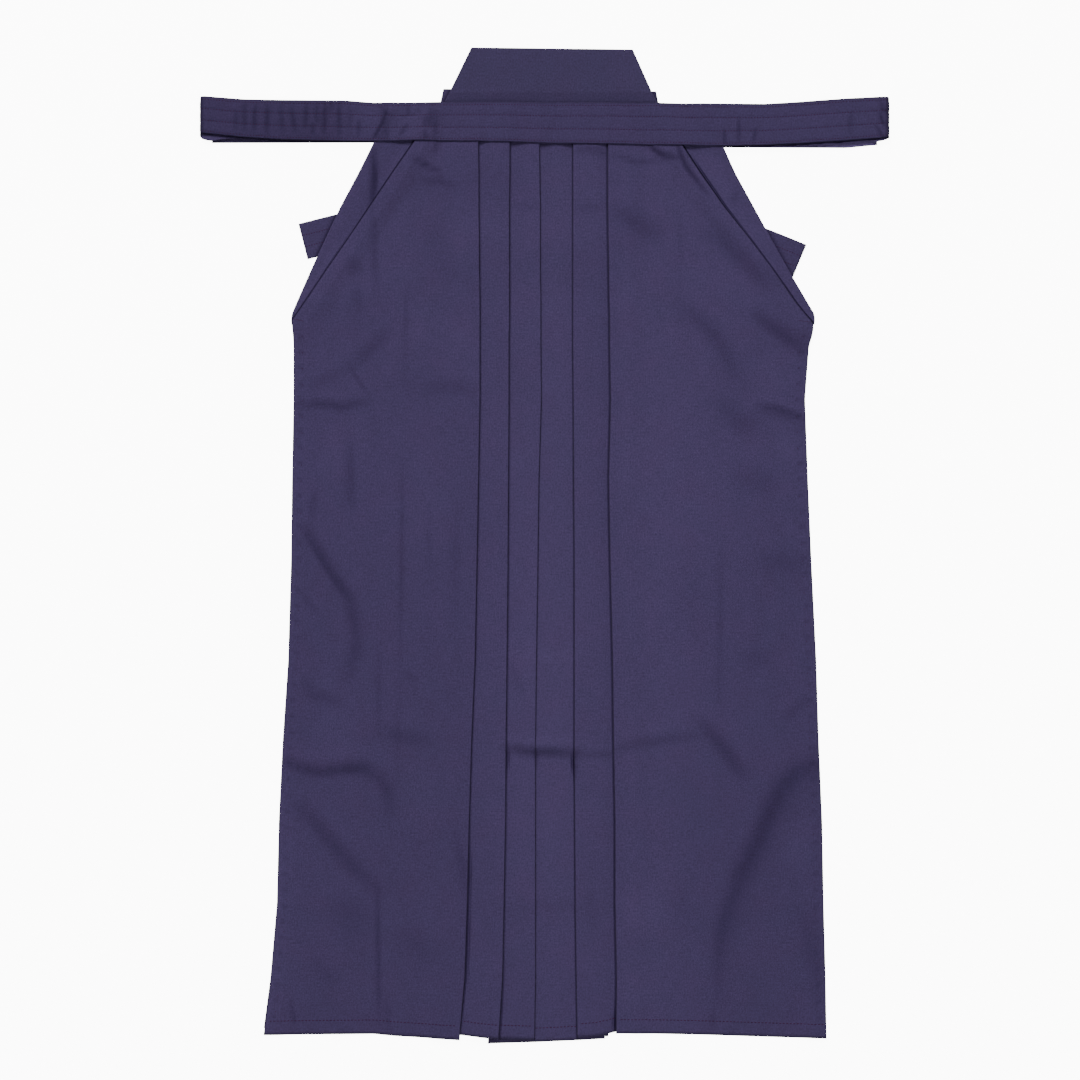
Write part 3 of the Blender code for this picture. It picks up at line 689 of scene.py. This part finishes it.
MIDDLE_CREASES = creases((
    (2, 0.42, 5.8, 5, -45, -207, -30.3, -207.8, -4.7, -210.3, 20.9, -210.9, 38.3, -211.4),
    (0.8, 0.15, 4.3, 3.6, 24, -211.4, 51.6, -212.9, 79.2, -211.4),
    (0.6, 0.34, 2.5, 2.5, 31.6, -240, 31.3, -225.7, 30.6, -207.3),
    (0.5, 0.28, 2.5, 2.5, -7.8, -227.8, -8.8, -216.5, -10.9, -205.2),
    (0.4, 0.11, 3.6, 3.6, -34.4, -117.2, -22.1, -152),
    (0.5, 0.34, 2.6, 2.4, 30, 402.6, 44, 402.6, 57, 401.5, 66, 392),
    (0.4, 0.12, 5, 5, 28, 345, 44, 343, 62, 347),
    (0.3, 0.08, 6, 6, -34, 345, -16, 346, -4, 342),
    (0, -0.05, 10, 10, 8, 305, 9, 265, 10, 225),
    (0.3, 0.08, 8, 8, 45, -345, 48, -370, 40, -390),
    (0, -0.08, 60, 60, 0, 480, 0, 100, 0, -430),
    (0, -0.1, 70, 70, 5, 150, 5, -330, 5, -810),
    (0, 0.09, 28, 28, -120, 368, -45, 368, 10, 368),
))

# The pile of the front from below: the pleats and what they turn under, both side folds, the narrow hems
# of the outer edges, both outer panels, and the front leaf of the band.
for first, last in (
        ("turn3", "seam"), ("turn3", "fold3"), ("turn2", "fold3"), ("turn2", "fold2"), ("turn1", "fold2"),
        ("turn1", "fold1"), ("fold4", "turn4"), ("fold4", "turn5"), ("fold5", "turn5")):
    laid[first, last] = laid[last, first] = lay(first, last)
right_fold = lay("right_side", "right1", SLIT)
left_fold = lay("left1", "left_side", SLIT)
for first, last in (
        ("right_slit", "right1"), ("left1", "left_slit"), ("right_slit", "fold1"), ("fold5", "left_slit")):
    laid[first, last] = laid[last, first] = lay(first, last)
band_front = lay("right_side", "left_side", WAIST)

right_leg, right_spans = pleated((
    ("right1", "right_slit", ((-286.7, -498.5), (-173.9, -497.4)), None),
    ("right_slit", "fold1", ((-286.7, -498.9), (-173.9, -497.8), (-153.1, -499.9), (-86.6, -503.7)),
     RIGHT_CREASES),
    ("fold1", "turn1", ((-106.5, -499.0), (-86.6, -503.7)), None),
    ("turn1", "fold2", ((-106.5, -497.5), (-84.9, -498.8), (-46.4, -502.6)), MIDDLE_CREASES,
     "fold1", 1, 0.75, ((-330.0, 28.0, 0.7), (-405.0, 60.0, 1.0))),
    ("fold2", "turn2", ((-67.5, -501.0), (-46.5, -502.6)), None),
    ("turn2", "fold3", ((-67.5, -501.0), (-45.7, -502.6), (-10.4, -503.7)), MIDDLE_CREASES,
     "fold2", 1, 0.75, ((-216.0, 14.0, 1.0), (-475.0, 34.0, 0.6))),
    ("fold3", "turn3", ((-58.0, -507.6), (-10.0, -503.7)), None),
    ("turn3", "seam", ((-57.9, -507.6), (-9.8, -506.2), (36.5, -504.1), (61.5, -502.6)),
     MIDDLE_CREASES, "fold4", -1, 0.45, ((-222.0, 14.0, 1.0),)),
))


def paint_dent_shade(cloth, start, depth=0.14):
    """Paint shade for a dent every fourth row, two columns wide, where a side stitch draws the cloth in."""
    cloth[SLIT.stop + 2:-3:4, start + 2:start + 4, 3] -= depth


paint_dent_shade(right_leg, right_spans[1][0])
panel("front_right_leg_cloth", right_leg, ["front_right_leg"],
      right_spans[1][1] - 1)

# Front of the left leg: one wide cloth pleated into two folds that face the other way. Its inner edge
# is sewn to the right leg's in the middle, under the fourth fold.
LEFT_CREASES = creases((
    (0.8, 0.55, 3.2, 2.4, 101, 414, 112, 402, 122, 396.5, 138, 394.5),
    (0.5, 0.22, 3, 3, 66, 398, 92, 390.5, 123.2, 392.6),
    (0.8, 0.55, 3.2, 2.6, 134, 424, 137, 401, 143, 386, 157, 368, 168, 354),
    (0.9, 0.18, 12.6, 9, 63.9, 345.5, 94, 325.7, 121.2, 314.2),
    (1, 0.2, 12.6, 9, 155, 324, 180.8, 310.9, 198.1, 293.5, 217.9, 276.2, 246.1, 259.5),
    (1.2, 0.3, 9.9, 6.2, 208.2, 241.1, 230.4, 221.6, 245.3, 211.7, 271.7, 192.9),
    (1, 0.2, 9.9, 8.1, 130.4, 248.2, 156, 231.4, 173.3, 211.7, 185.7, 191.9, 195.9, 155.1),
    (0.8, 0.16, 11.8, 9.9, 174.4, 157.1, 195.6, 124.8, 221.5, 120.3),
    (1.1, 0.28, 3.6, 8.1, 212.3, 143.8, 235.8, 140.2, 251.2, 135.6, 271.7, 126.4),
    (0.5, 0.09, 14.4, 12.6, 184.7, 74.2, 241, 56.8),
    (0.3, 0.06, 3.6, 2.7, 138.6, 215.5, 138.6, 358.8),
    (0.4, 0.13, 3.6, 3.6, 177.5, -178.6, 178.5, -86.5, 179.5, 5.6),
    (0.7, 0.18, 7.2, 4.3, 61.8, -212.4, 91.7, -203.8, 126.7, -198.6, 161.1, -194),
    (1, 0.26, 8.1, 7.2, 153.9, -171.5, 172.3, -195, 186.3, -212.6, 205.1, -242.1),
    (1.6, 0.38, 12, 11, 330, -206, 258, -231, 243, -247, 232, -267, 219.5, -298,
     203, -330, 190, -366, 182, -396, 177, -420),
    (0.6, 0.15, 8.1, 7.2, 183.6, -360.8, 177.5, -408.6, 175.4, -473.4),
    (0.5, 0.11, 6.2, 4.3, 243, -180.7, 269.6, -153),
    (0.6, 0.13, 12.6, 10.8, 210.2, -14.8, 241, -17.9, 271.7, -21),
    (0.5, 0.11, 12.6, 11.8, 204.1, -101.8, 224.6, -126.4),
    (0.5, 0.13, 9.9, 9.9, 282.9, -470.3, 273.7, -422.6, 261.4, -360.8),
    (0.4, 0.07, 12.6, 12.6, 132.5, -346.5, 155, -397.7),
    (0.4, 0.13, 2.7, 2.7, 170.3, -499, 172.4, -465.2),
    (0.3, -0.07, 22, 22, 85, -345, 97, -370, 90, -400),
    (0.2, -0.06, 18, 18, 84, -430, 87, -452, 92, -475),
    (0.4, -0.08, 18, 18, 250, -280, 258, -302, 262, -330),
    (0.2, -0.06, 24, 24, 84, 300, 86, 262, 90, 225),
    (0.3, -0.07, 16, 16, 222, 195, 231, 168, 240, 150),
    (0.2, -0.05, 26, 26, 84, 140, 88, 100, 90, 40),
    (0.2, -0.06, 18, 18, 252, 115, 250, 100, 246, 84),
    (0.2, 0.05, 26, 26, 130, -20, 150, -60, 140, -110),
    (0, -0.05, 90, 90, 150, 480, 150, 100, 150, -250),
    (0, -0.11, 56, 56, 105, 330, 105, -250, 105, -850),
))
left_leg, left_spans = pleated((
    ("left1", "left_slit", ((162.4, -498.4), (246.0, -501.0), (287.7, -502.0)), None),
    ("left_slit", "fold5", ((72.6, -496.8), (162.4, -498.7), (246.0, -501.4), (287.7, -502.4)), LEFT_CREASES),
    ("fold5", "turn5", ((72.5, -496.8), (92.5, -495.0)), None),
    ("turn5", "fold4", ((33.3, -501.4), (52.2, -500.0), (72.5, -495.4), (92.5, -494.5)),
     MIDDLE_CREASES, "fold5", 1, 0.45, ((-484.0, 14.0, 0.8),)),
    ("fold4", "turn4", ((33.0, -501.4), (65.0, -500.0)), None),
))
paint_dent_shade(left_leg, left_spans[1][0])
panel("front_left_leg_cloth", left_leg, ["front_left_leg"],
      left_spans[1][1] - 1)

# Side folds: the strip of each back that comes round beside the slit and goes under the front.
SIDE_CREASES = creases((
    (1.2, 0.55, 4, 3.2, -175.7, 341.4, -173.1, 368, -173.1, 384.4, -174.6, 406.9),
    (0.5, 0.15, 4, 4, 188.8, 345.5, 198, 365.9),
    (0, 0.14, 16, 16, -140, 425, -165, 380, -190, 325, -215, 290),
    (0, -0.07, 14, 14, 150, 410, 185, 350, 225, 290),
))
side_fold = strip(right_fold, "right_side", "right1", SLIT, crease=SIDE_CREASES)
side_fold = in_shadow(side_fold, COLUMN["right_slit"] - COLUMN["right_side"], -1, 0.2, 1.0)
panel("side_fold_right_cloth", side_fold, ["side_fold_right"])
side_fold = strip(left_fold, "left1", "left_side", SLIT, crease=SIDE_CREASES)
gaping = 1.3 + 1.7 * np.exp(-((side_fold[:, :1, 1] - 366.0) / 28.0) ** 2)  # the slit is widest at y 366
side_fold = in_shadow(side_fold, COLUMN["left_slit"] - COLUMN["left1"], 1, 0.05, gaping)
panel("side_fold_left_cloth", side_fold, ["side_fold_left"])

# Front band: one long strip folded over the top of the pleats and sewn through in four rows. Past the
# body it goes on as the two front ties, each turned under twice so that three lengths lie in a pile.
LEAF_ROWS = np.linspace(0.0, 1.0, 34)
LEAF_TUCK = 3.0
STITCH_ROWS = (0.085, 0.34, 0.65, 0.94)  # shares of the band's width, from its upper edge
TIE_PITCH = 2.6
TIE_HALF = 1.15              # half the thickness of a doubled tie
TIE_LEVELS = (1.15, 3.75, 6.35)
TIE_WIDTH = 37.0
TIE_FOLDS = {  # out, tip x, y at the tip, inner x, lower edge of the lowest length, and its shade
    "right": (-1, -351.2, 414.8, -171.0, ((-339.0, 410.5), (-171.0, 410.8)), 1.2),
    "left": (1, 351.2, 414.6, 180.0, ((180.0, 406.0), (308.1, 405.4), (339.0, 408.4)), 2.8),
}
BAND_CREASES = creases((
    (0.9, 0.38, 2.7, 2.5, -168, 448.8, -162.3, 438.8, -166.4, 426.5, -174.1, 415.1),
    (0.6, 0.25, 2.2, 2.2, -160.1, 449.9, -161, 436.6),
    (0.7, 0.3, 2.3, 2.2, -138.8, 448.8, -138.8, 436.6),
    (0.6, 0.3, 2.7, 2.3, -147.5, 416.1, -139, 430.4),
    (0.4, 0.16, 2.7, 2.3, -128, 439.6, -128, 448.8),
    (0.7, 0.3, 3.6, 3.6, -120.4, 424.3, -120.4, 438.6),
    (0.7, 0.3, 2.7, 2.3, -120.4, 412, -121.4, 424.3),
    (0.6, 0.26, 2.7, 2.3, -115.6, 424.3, -115.6, 450.9),
    (0.6, 0.22, 2.7, 2.3, -110.8, 412, -111.2, 448.8),
    (0.7, 0.3, 2.2, 2.2, -189.6, 415.1, -189, 435.5),
    (0.6, 0.22, 2.3, 2.2, -161.5, 412, -160.8, 426.3),
    (0.6, 0.42, 2, 1.8, 183, 425, 182.5, 408),
    (0.7, 0.4, 2, 1.8, 197.5, 438, 197, 408.5),
    (0.6, 0.38, 2, 1.8, 215, 427, 212, 409.5),
    (0.6, 0.45, 1.8, 1.6, -158, 445, -164.5, 431, -170, 421, -178, 407),
    (0.5, 0.4, 1.8, 1.6, 336.5, 428.5, 340.5, 421.5, 346, 413.5),
    (0.7, 0.22, 2.7, 2.3, 346.4, 440.7, 338.2, 460.1),
    (0.5, 0.2, 2.7, 2.3, -313.8, 422.2, -313.8, 444.8),
    (0.5, 0.22, 2.7, 2.3, -304.6, 420.2, -305.6, 451.9),
    (0.5, 0.32, 2.7, 2.3, -295.4, 419.2, -294.4, 449.9),
    (0.5, 0.32, 2.7, 2.3, -282.1, 417.1, -282.1, 450.9),
    (0.5, 0.22, 2.7, 2.3, -265.7, 417.1, -268.8, 450.9),
    (0.5, 0.28, 2.7, 2.3, -252.4, 419.2, -258.6, 447.8),
    (0.5, 0.26, 2.7, 2.3, -243.2, 422.2, -242.2, 451.9),
    (0.5, 0.24, 2.7, 2.3, -235.6, 416.1, -235.6, 431.4),
    (0.5, 0.22, 2.7, 2.3, -231.4, 427.4, -231.9, 451.9),
    (0.5, 0.32, 2.7, 2.3, -224.2, 417.1, -223.1, 452.9),
    (0.5, 0.22, 2.7, 2.3, -216.6, 441.7, -216.6, 454),
    (0.5, 0.3, 2.7, 2.3, -208.4, 416.1, -209.4, 454),
    (0.5, 0.18, 2.7, 2.3, -197.1, 419.2, -198.2, 449.9),
    (0.7, 0.5, 2, 1.8, 346.5, 424, 339.5, 442.5),
    (0.4, 0.26, 2.4, 2, 348, 437.5, 342, 447),
    (0.4, 0.14, 3, 2.6, 311.5, 417, 311.2, 445),
))
band_sections = []


def leaf_share(share, width):
    """Where a share of the band's whole width falls on a leaf, which starts LEAF_TUCK below the edge."""
    return (share * width - LEAF_TUCK) / (width - LEAF_TUCK)


def add_section(lower, upper, front, rear, shade_of_creases=0.0, rear_shade=1.0):
    """Add a section of the strip: up its front leaf, over the top edge and down its rear leaf.

    front and rear are the x and z of the two leaves, one each or one for each row.
    """
    y = upper - LEAF_TUCK + (lower - upper + LEAF_TUCK) * LEAF_ROWS
    face, back_leaf = (np.stack(np.broadcast_arrays(x, y, z), axis=1).astype(float) for x, z in (front, rear))
    inward = (back_leaf - face) / np.linalg.norm(back_leaf - face, axis=1)[:, None]
    width = upper - lower
    groove = sum(np.exp(-((LEAF_ROWS - leaf_share(row, width)) * width / 1.2) ** 2) for row in STITCH_ROWS)
    face = face + inward * 0.3 * groove[:, None]
    # Painted shade: a little in the stitch grooves, and a dark line along the lowest rows of the front leaf,
    # under its lower edge.
    dark = 0.07 * groove + shade_of_creases
    dark = dark + np.where(LEAF_ROWS > 0.999, 0.4, np.where(LEAF_ROWS > 0.96, 0.12, 0.0))
    centre, half = 0.5 * (face[0] + back_leaf[0]), 0.5 * (face[0] - back_leaf[0])
    reach = min(np.linalg.norm(half), 2.5)
    nose = []
    for angle in np.radians((60, 30, 0, -30, -60)):
        point = centre + half * math.sin(angle)
        point[1] = upper - 0.5 * WALL - reach + reach * math.cos(angle)
        nose.append(point)
    section = np.concatenate([face[::-1], np.array(nose), back_leaf])
    shade = np.ones(len(section))
    shade[:len(LEAF_ROWS)] -= dark[::-1]
    # Painted shade over the round top edge, to dim the highlight that the light puts there.
    shade[len(LEAF_ROWS):len(LEAF_ROWS) + 5] = 0.7
    shade[len(LEAF_ROWS) + 5:] = rear_shade
    band_sections.append(np.column_stack([section, shade]))


def tie_sections(side):
    """Sections of a folded tie from its free end up to the band: lowest length, inner fold, middle, tip.

    Each is the x and y of its lower edge, its height, the way it faces in x and z, its width and shade.
    """
    out, tip, tip_y, inner, lowest, lit = TIE_FOLDS[side]
    reach = 0.5 * TIE_PITCH + TIE_HALF
    tip, inner = tip - out * reach, inner + out * reach
    lowest = np.array(lowest)
    inner_y = lowest[0 if out > 0 else -1][1]
    free_end = lowest[-1 if out > 0 else 0][0]
    spots = []
    for x in np.linspace(free_end, inner, 34):
        spots.append((x, np.interp(x, lowest[:, 0], lowest[:, 1]), TIE_LEVELS[0], 0.0, 1.0, TIE_WIDTH, lit))
    turn = np.radians((-60, -30, 0, 30, 60))
    for angle in turn:
        c, s = math.cos(angle), math.sin(angle)
        z = 0.5 * (TIE_LEVELS[0] + TIE_LEVELS[1]) + 0.5 * TIE_PITCH * s
        spots.append((inner - out * 0.5 * TIE_PITCH * c, inner_y, z, out * c, -s, TIE_WIDTH, lit))
    for x in np.linspace(inner, tip, 34):
        y = inner_y + (tip_y - inner_y) * (x - inner) / (tip - inner)
        sag, sag_reach = 2.6, 9.0
        y -= sag * math.exp(-((x - free_end) / sag_reach) ** 2)
        spots.append((x, y, TIE_LEVELS[1], 0.0, -1.0, TIE_WIDTH, lit))
    top_y = band_height(tip, "lower")
    top_width = band_height(tip, "upper") - top_y
    for angle in turn:
        c, s = math.cos(angle), math.sin(angle)
        z = 0.5 * (TIE_LEVELS[1] + TIE_LEVELS[2]) + 0.5 * TIE_PITCH * s
        y = tip_y + (top_y - tip_y) * (0.5 + 0.5 * s)
        width = TIE_WIDTH + (top_width - TIE_WIDTH) * (0.5 + 0.5 * s)
        spots.append((tip + out * 0.5 * TIE_PITCH * c, y, z, out * c, s, width, 0.8))
    return spots


def add_tie(spots):
    """The lengths under the band: what shows below the band's edge is lit, and dark right beside it."""
    for x, y, z, out_x, out_z, width, lit in spots:
        dx, dz = 0.5 * PITCH * out_x, 0.5 * PITCH * out_z
        below = band_height(x, "lower") - (y + (width - LEAF_TUCK) * (1.0 - LEAF_ROWS))
        shade = np.where(below > 1.2, lit, 0.35)
        add_section(y, y + width, (x + dx, z + dz), (x - dx, z - dz), 1.0 - shade, shade)


def net_height(height, x, share):
    """Height of a waist cloth at x, at shares of its depth; past the net the ties lie at their level."""
    flat = TIE_LEVELS[2] + (0.5 * PITCH if height is band_front else -0.5 * PITCH)
    at_rows = [np.interp(x, NET_X[r], height[r], left=flat, right=flat) for r in range(LEG_ROW + 1)]
    return np.interp(share * LEG_ROW, np.arange(LEG_ROW + 1), at_rows)


add_tie(tie_sections("right"))
for x in np.arange(-346.0, 346.1, 2.0):
    lower, upper = band_height(x, "lower"), band_height(x, "upper")
    y = upper - LEAF_TUCK + (lower - upper + LEAF_TUCK) * LEAF_ROWS
    share = np.clip((upper - WAIST_TUCK - y) / (upper - WAIST_TUCK - lower), 0.0, 1.0)
    rise, dark = BAND_CREASES(np.full(len(y), x), y)
    dark = dark + 0.18 * smooth_step((-180.0 - x) / 45.0)  # the band is darker along the right tie
    front, rear = net_height(band_front, x, share) + rise, net_height(band_back, x, share)
    add_section(lower, upper, (x, front), (x, rear), dark)
add_tie(tie_sections("left")[::-1])
band = np.array(band_sections)
band_piece = cloth_piece("front_band_cloth", band, flat_chart(band.transpose(1, 0, 2)).transpose(1, 0, 2),
                         band_cotton, WALL)
band_long = np.linalg.norm(np.diff(band[:, :, :3], axis=0), axis=2).sum(axis=0).max()
band_wide = np.linalg.norm(np.diff(band[:, :, :3], axis=1), axis=2).sum(axis=1).max()
put_in(band_piece, ["front_band", "front_tie_right", "front_tie_left"], (band_wide, band_long))

# Stitches: dull plum thread. Four rows run along the band and the ties and one row along each hem, short
# ticks run down the sides, a small bar holds the foot of each slit, and two rows run along a back tie.
thread = plain_material("plum_thread", {
    "Base Color": (0.034, 0.006, 0.032, 1.0), "Roughness": 0.8, "Specular IOR Level": 0.1})
FACE_UP = np.array([0.0, 0.0, 0.5 * WALL])


def stitches(name, runs, long=3.0, thick=0.5):
    """One mesh of spindle-shaped stitches. Each run is a path on a cloth's face and a stitch pitch."""
    centres, headings = [], []
    for path, pitch in runs:
        lengths = run_lengths(path)
        at = np.arange(0.5 * pitch, lengths[-1], pitch)
        before, centre, after = (
            np.stack([np.interp(at + d, lengths, path[:, i]) for i in range(3)], axis=1) for d in (-1, 0, 1))
        centres.append(centre)
        ahead = after - before
        headings.append(ahead / np.linalg.norm(ahead, axis=1)[:, None])
    centre, heading = np.concatenate(centres), np.concatenate(headings)
    side = np.cross(heading, [0.0, 0.0, 1.0])
    side /= np.linalg.norm(side, axis=1)[:, None]
    lift = np.cross(side, heading)
    turn = np.radians(np.arange(0, 360, 60))
    rings = (  # place along the stitch, size and drop of each ring
        (-0.5, 0.45, -0.35), (-0.25, 0.9, -0.05), (0.0, 1.0, 0.0), (0.25, 0.9, -0.05), (0.5, 0.45, -0.35))
    corners = [centre + heading * along * long + side * 0.5 * thick * size * math.cos(angle)
               + lift * thick * (0.5 * size * math.sin(angle) + drop)
               for along, size, drop in rings for angle in turn]
    ring, each = len(turn), len(corners)
    faces = [(r * ring + k, r * ring + (k + 1) % ring, (r + 1) * ring + (k + 1) % ring, (r + 1) * ring + k)
             for r in range(len(rings) - 1) for k in range(ring)]
    caps = [tuple(range(ring))[::-1], tuple(range(each - ring, each))]
    every = [tuple(c + i * each for c in face) for i in range(len(centre)) for face in faces + caps]
    piece = smooth_mesh(name, np.stack(corners, axis=1), every, thread)
    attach(piece, "root")


BAND_WIDTH = 40.0
ON_TOP = 6.4                 # only the front leaf of the uppermost length lies higher than this
band_runs = []
for share in STITCH_ROWS:
    column = (1.0 - leaf_share(share, BAND_WIDTH)) * (len(LEAF_ROWS) - 1)
    low, part = int(column), column - int(column)
    path = (band[:, low] * (1 - part) + band[:, low + 1] * part)[:, :3]
    band_runs.append((path[path[:, 2] > ON_TOP] + FACE_UP, 2.9))
stitches("band_stitches", band_runs, 1.4, 0.85)


def hem_run(cloth, first, last, up=14.3):
    """A path across some columns of a cloth, a given height above its lowest row."""
    path = []
    for column in cloth[::-1, first:last].transpose(1, 0, 2):
        y = column[0, 1] + up
        path.append([np.interp(y, column[:, 1], column[:, i]) for i in range(3)])
    path = np.array(path)
    return path[np.argsort(path[:, 0])] + FACE_UP


hem_runs = []
for cloth, spans, visible in ((right_leg, right_spans, (1, 3, 5, 7)), (left_leg, left_spans, (1, 3))):
    for i in visible:
        hem_runs.append((hem_run(cloth, spans[i][0] + 1, spans[i][1] - 1), 3.6))
stitches("hem_stitches", hem_runs, 2.8, 0.75)

side_runs = []
for cloth, spans in ((right_leg, right_spans), (left_leg, left_spans)):
    side_runs.append((cloth[SLIT.stop:-3, spans[1][0] + 3, :3] + FACE_UP, 16.4))
stitches("side_stitches", side_runs, 1.4, 0.5)

bar_runs = []
SLIT_FEET = (((-256.3, 230.6), (-245.0, 228.4)), ((258.5, 228.9), (271.0, 227.4)))
for cloth, foot in zip((right_leg, left_leg), SLIT_FEET):
    path = []
    for x, y in np.linspace(*foot, 6):
        spot = np.unravel_index(np.argmin(np.hypot(cloth[:, :, 0] - x, cloth[:, :, 1] - y) - cloth[:, :, 2]),
                                cloth.shape[:2])
        path.append((x, y, cloth[spot][2]))
    bar_runs.append((np.array(path) + FACE_UP, 1.6))
stitches("bar_tacks", bar_runs, 1.8, 0.5)
stitches("back_tie_stitches", [(path, 2.7) for path in back_tie_rows], 1.5, 0.8)

# The view and the light: straight down on the garment through a long lens, as in the photo, over a
# pale floor, under broad soft light that comes a little from the upper left. The camera is let down a
# third of a per cent, because the bright floor eats into the garment's outline.
PIXEL_MM = 1.0236            # size of a pixel of the photo
DISTANCE = 2.353             # from the camera to the surface, in heights of the picture
camera_data = bpy.data.cameras.new("view")
camera_data.lens = 85.0
camera_data.sensor_width = 36.0
camera = add_object("view", camera_data)
camera.location = ((540.0 - 544.6) * PIXEL_MM * MM, (545.5 - 540.0) * PIXEL_MM * MM,
                   1080 * PIXEL_MM * MM * DISTANCE)
bpy.context.scene.camera = camera


def area_light(name, place, size, power):
    """A square soft light that faces the middle of the garment."""
    data = bpy.data.lights.new(name, "AREA")
    data.shape = "SQUARE"
    data.size = size
    data.energy = power
    light = add_object(name, data)
    x, y, z = place
    light.location = place
    light.rotation_euler = (math.atan2(math.hypot(x, y), z), 0.0, math.atan2(y, x) + 0.5 * math.pi)


area_light("key_light", (-1.3, 4.2, 4.0), 2.0, 415.0)
area_light("fill_light", (1.4, -2.2, 4.5), 3.0, 112.0)

world = bpy.data.worlds.new("studio")
world.use_nodes = True
world.node_tree.nodes["Background"].inputs["Color"].default_value = (1.0, 1.0, 1.0, 1.0)
world.node_tree.nodes["Background"].inputs["Strength"].default_value = 0.18
bpy.context.scene.world = world

floor_paint = plain_material("floor_paint", {
    "Base Color": (0.95, 0.95, 0.95, 1.0), "Roughness": 0.9,
    "Emission Color": (1.0, 1.0, 1.0, 1.0), "Emission Strength": 10.0})
corners = np.array([(x * 4000.0, y * 4000.0, -0.2) for x, y in ((-1, -1), (1, -1), (1, 1), (-1, 1))])
floor = smooth_mesh("floor", corners, [(0, 1, 2, 3)], floor_paint)
floor.visible_diffuse = False
floor.visible_glossy = False
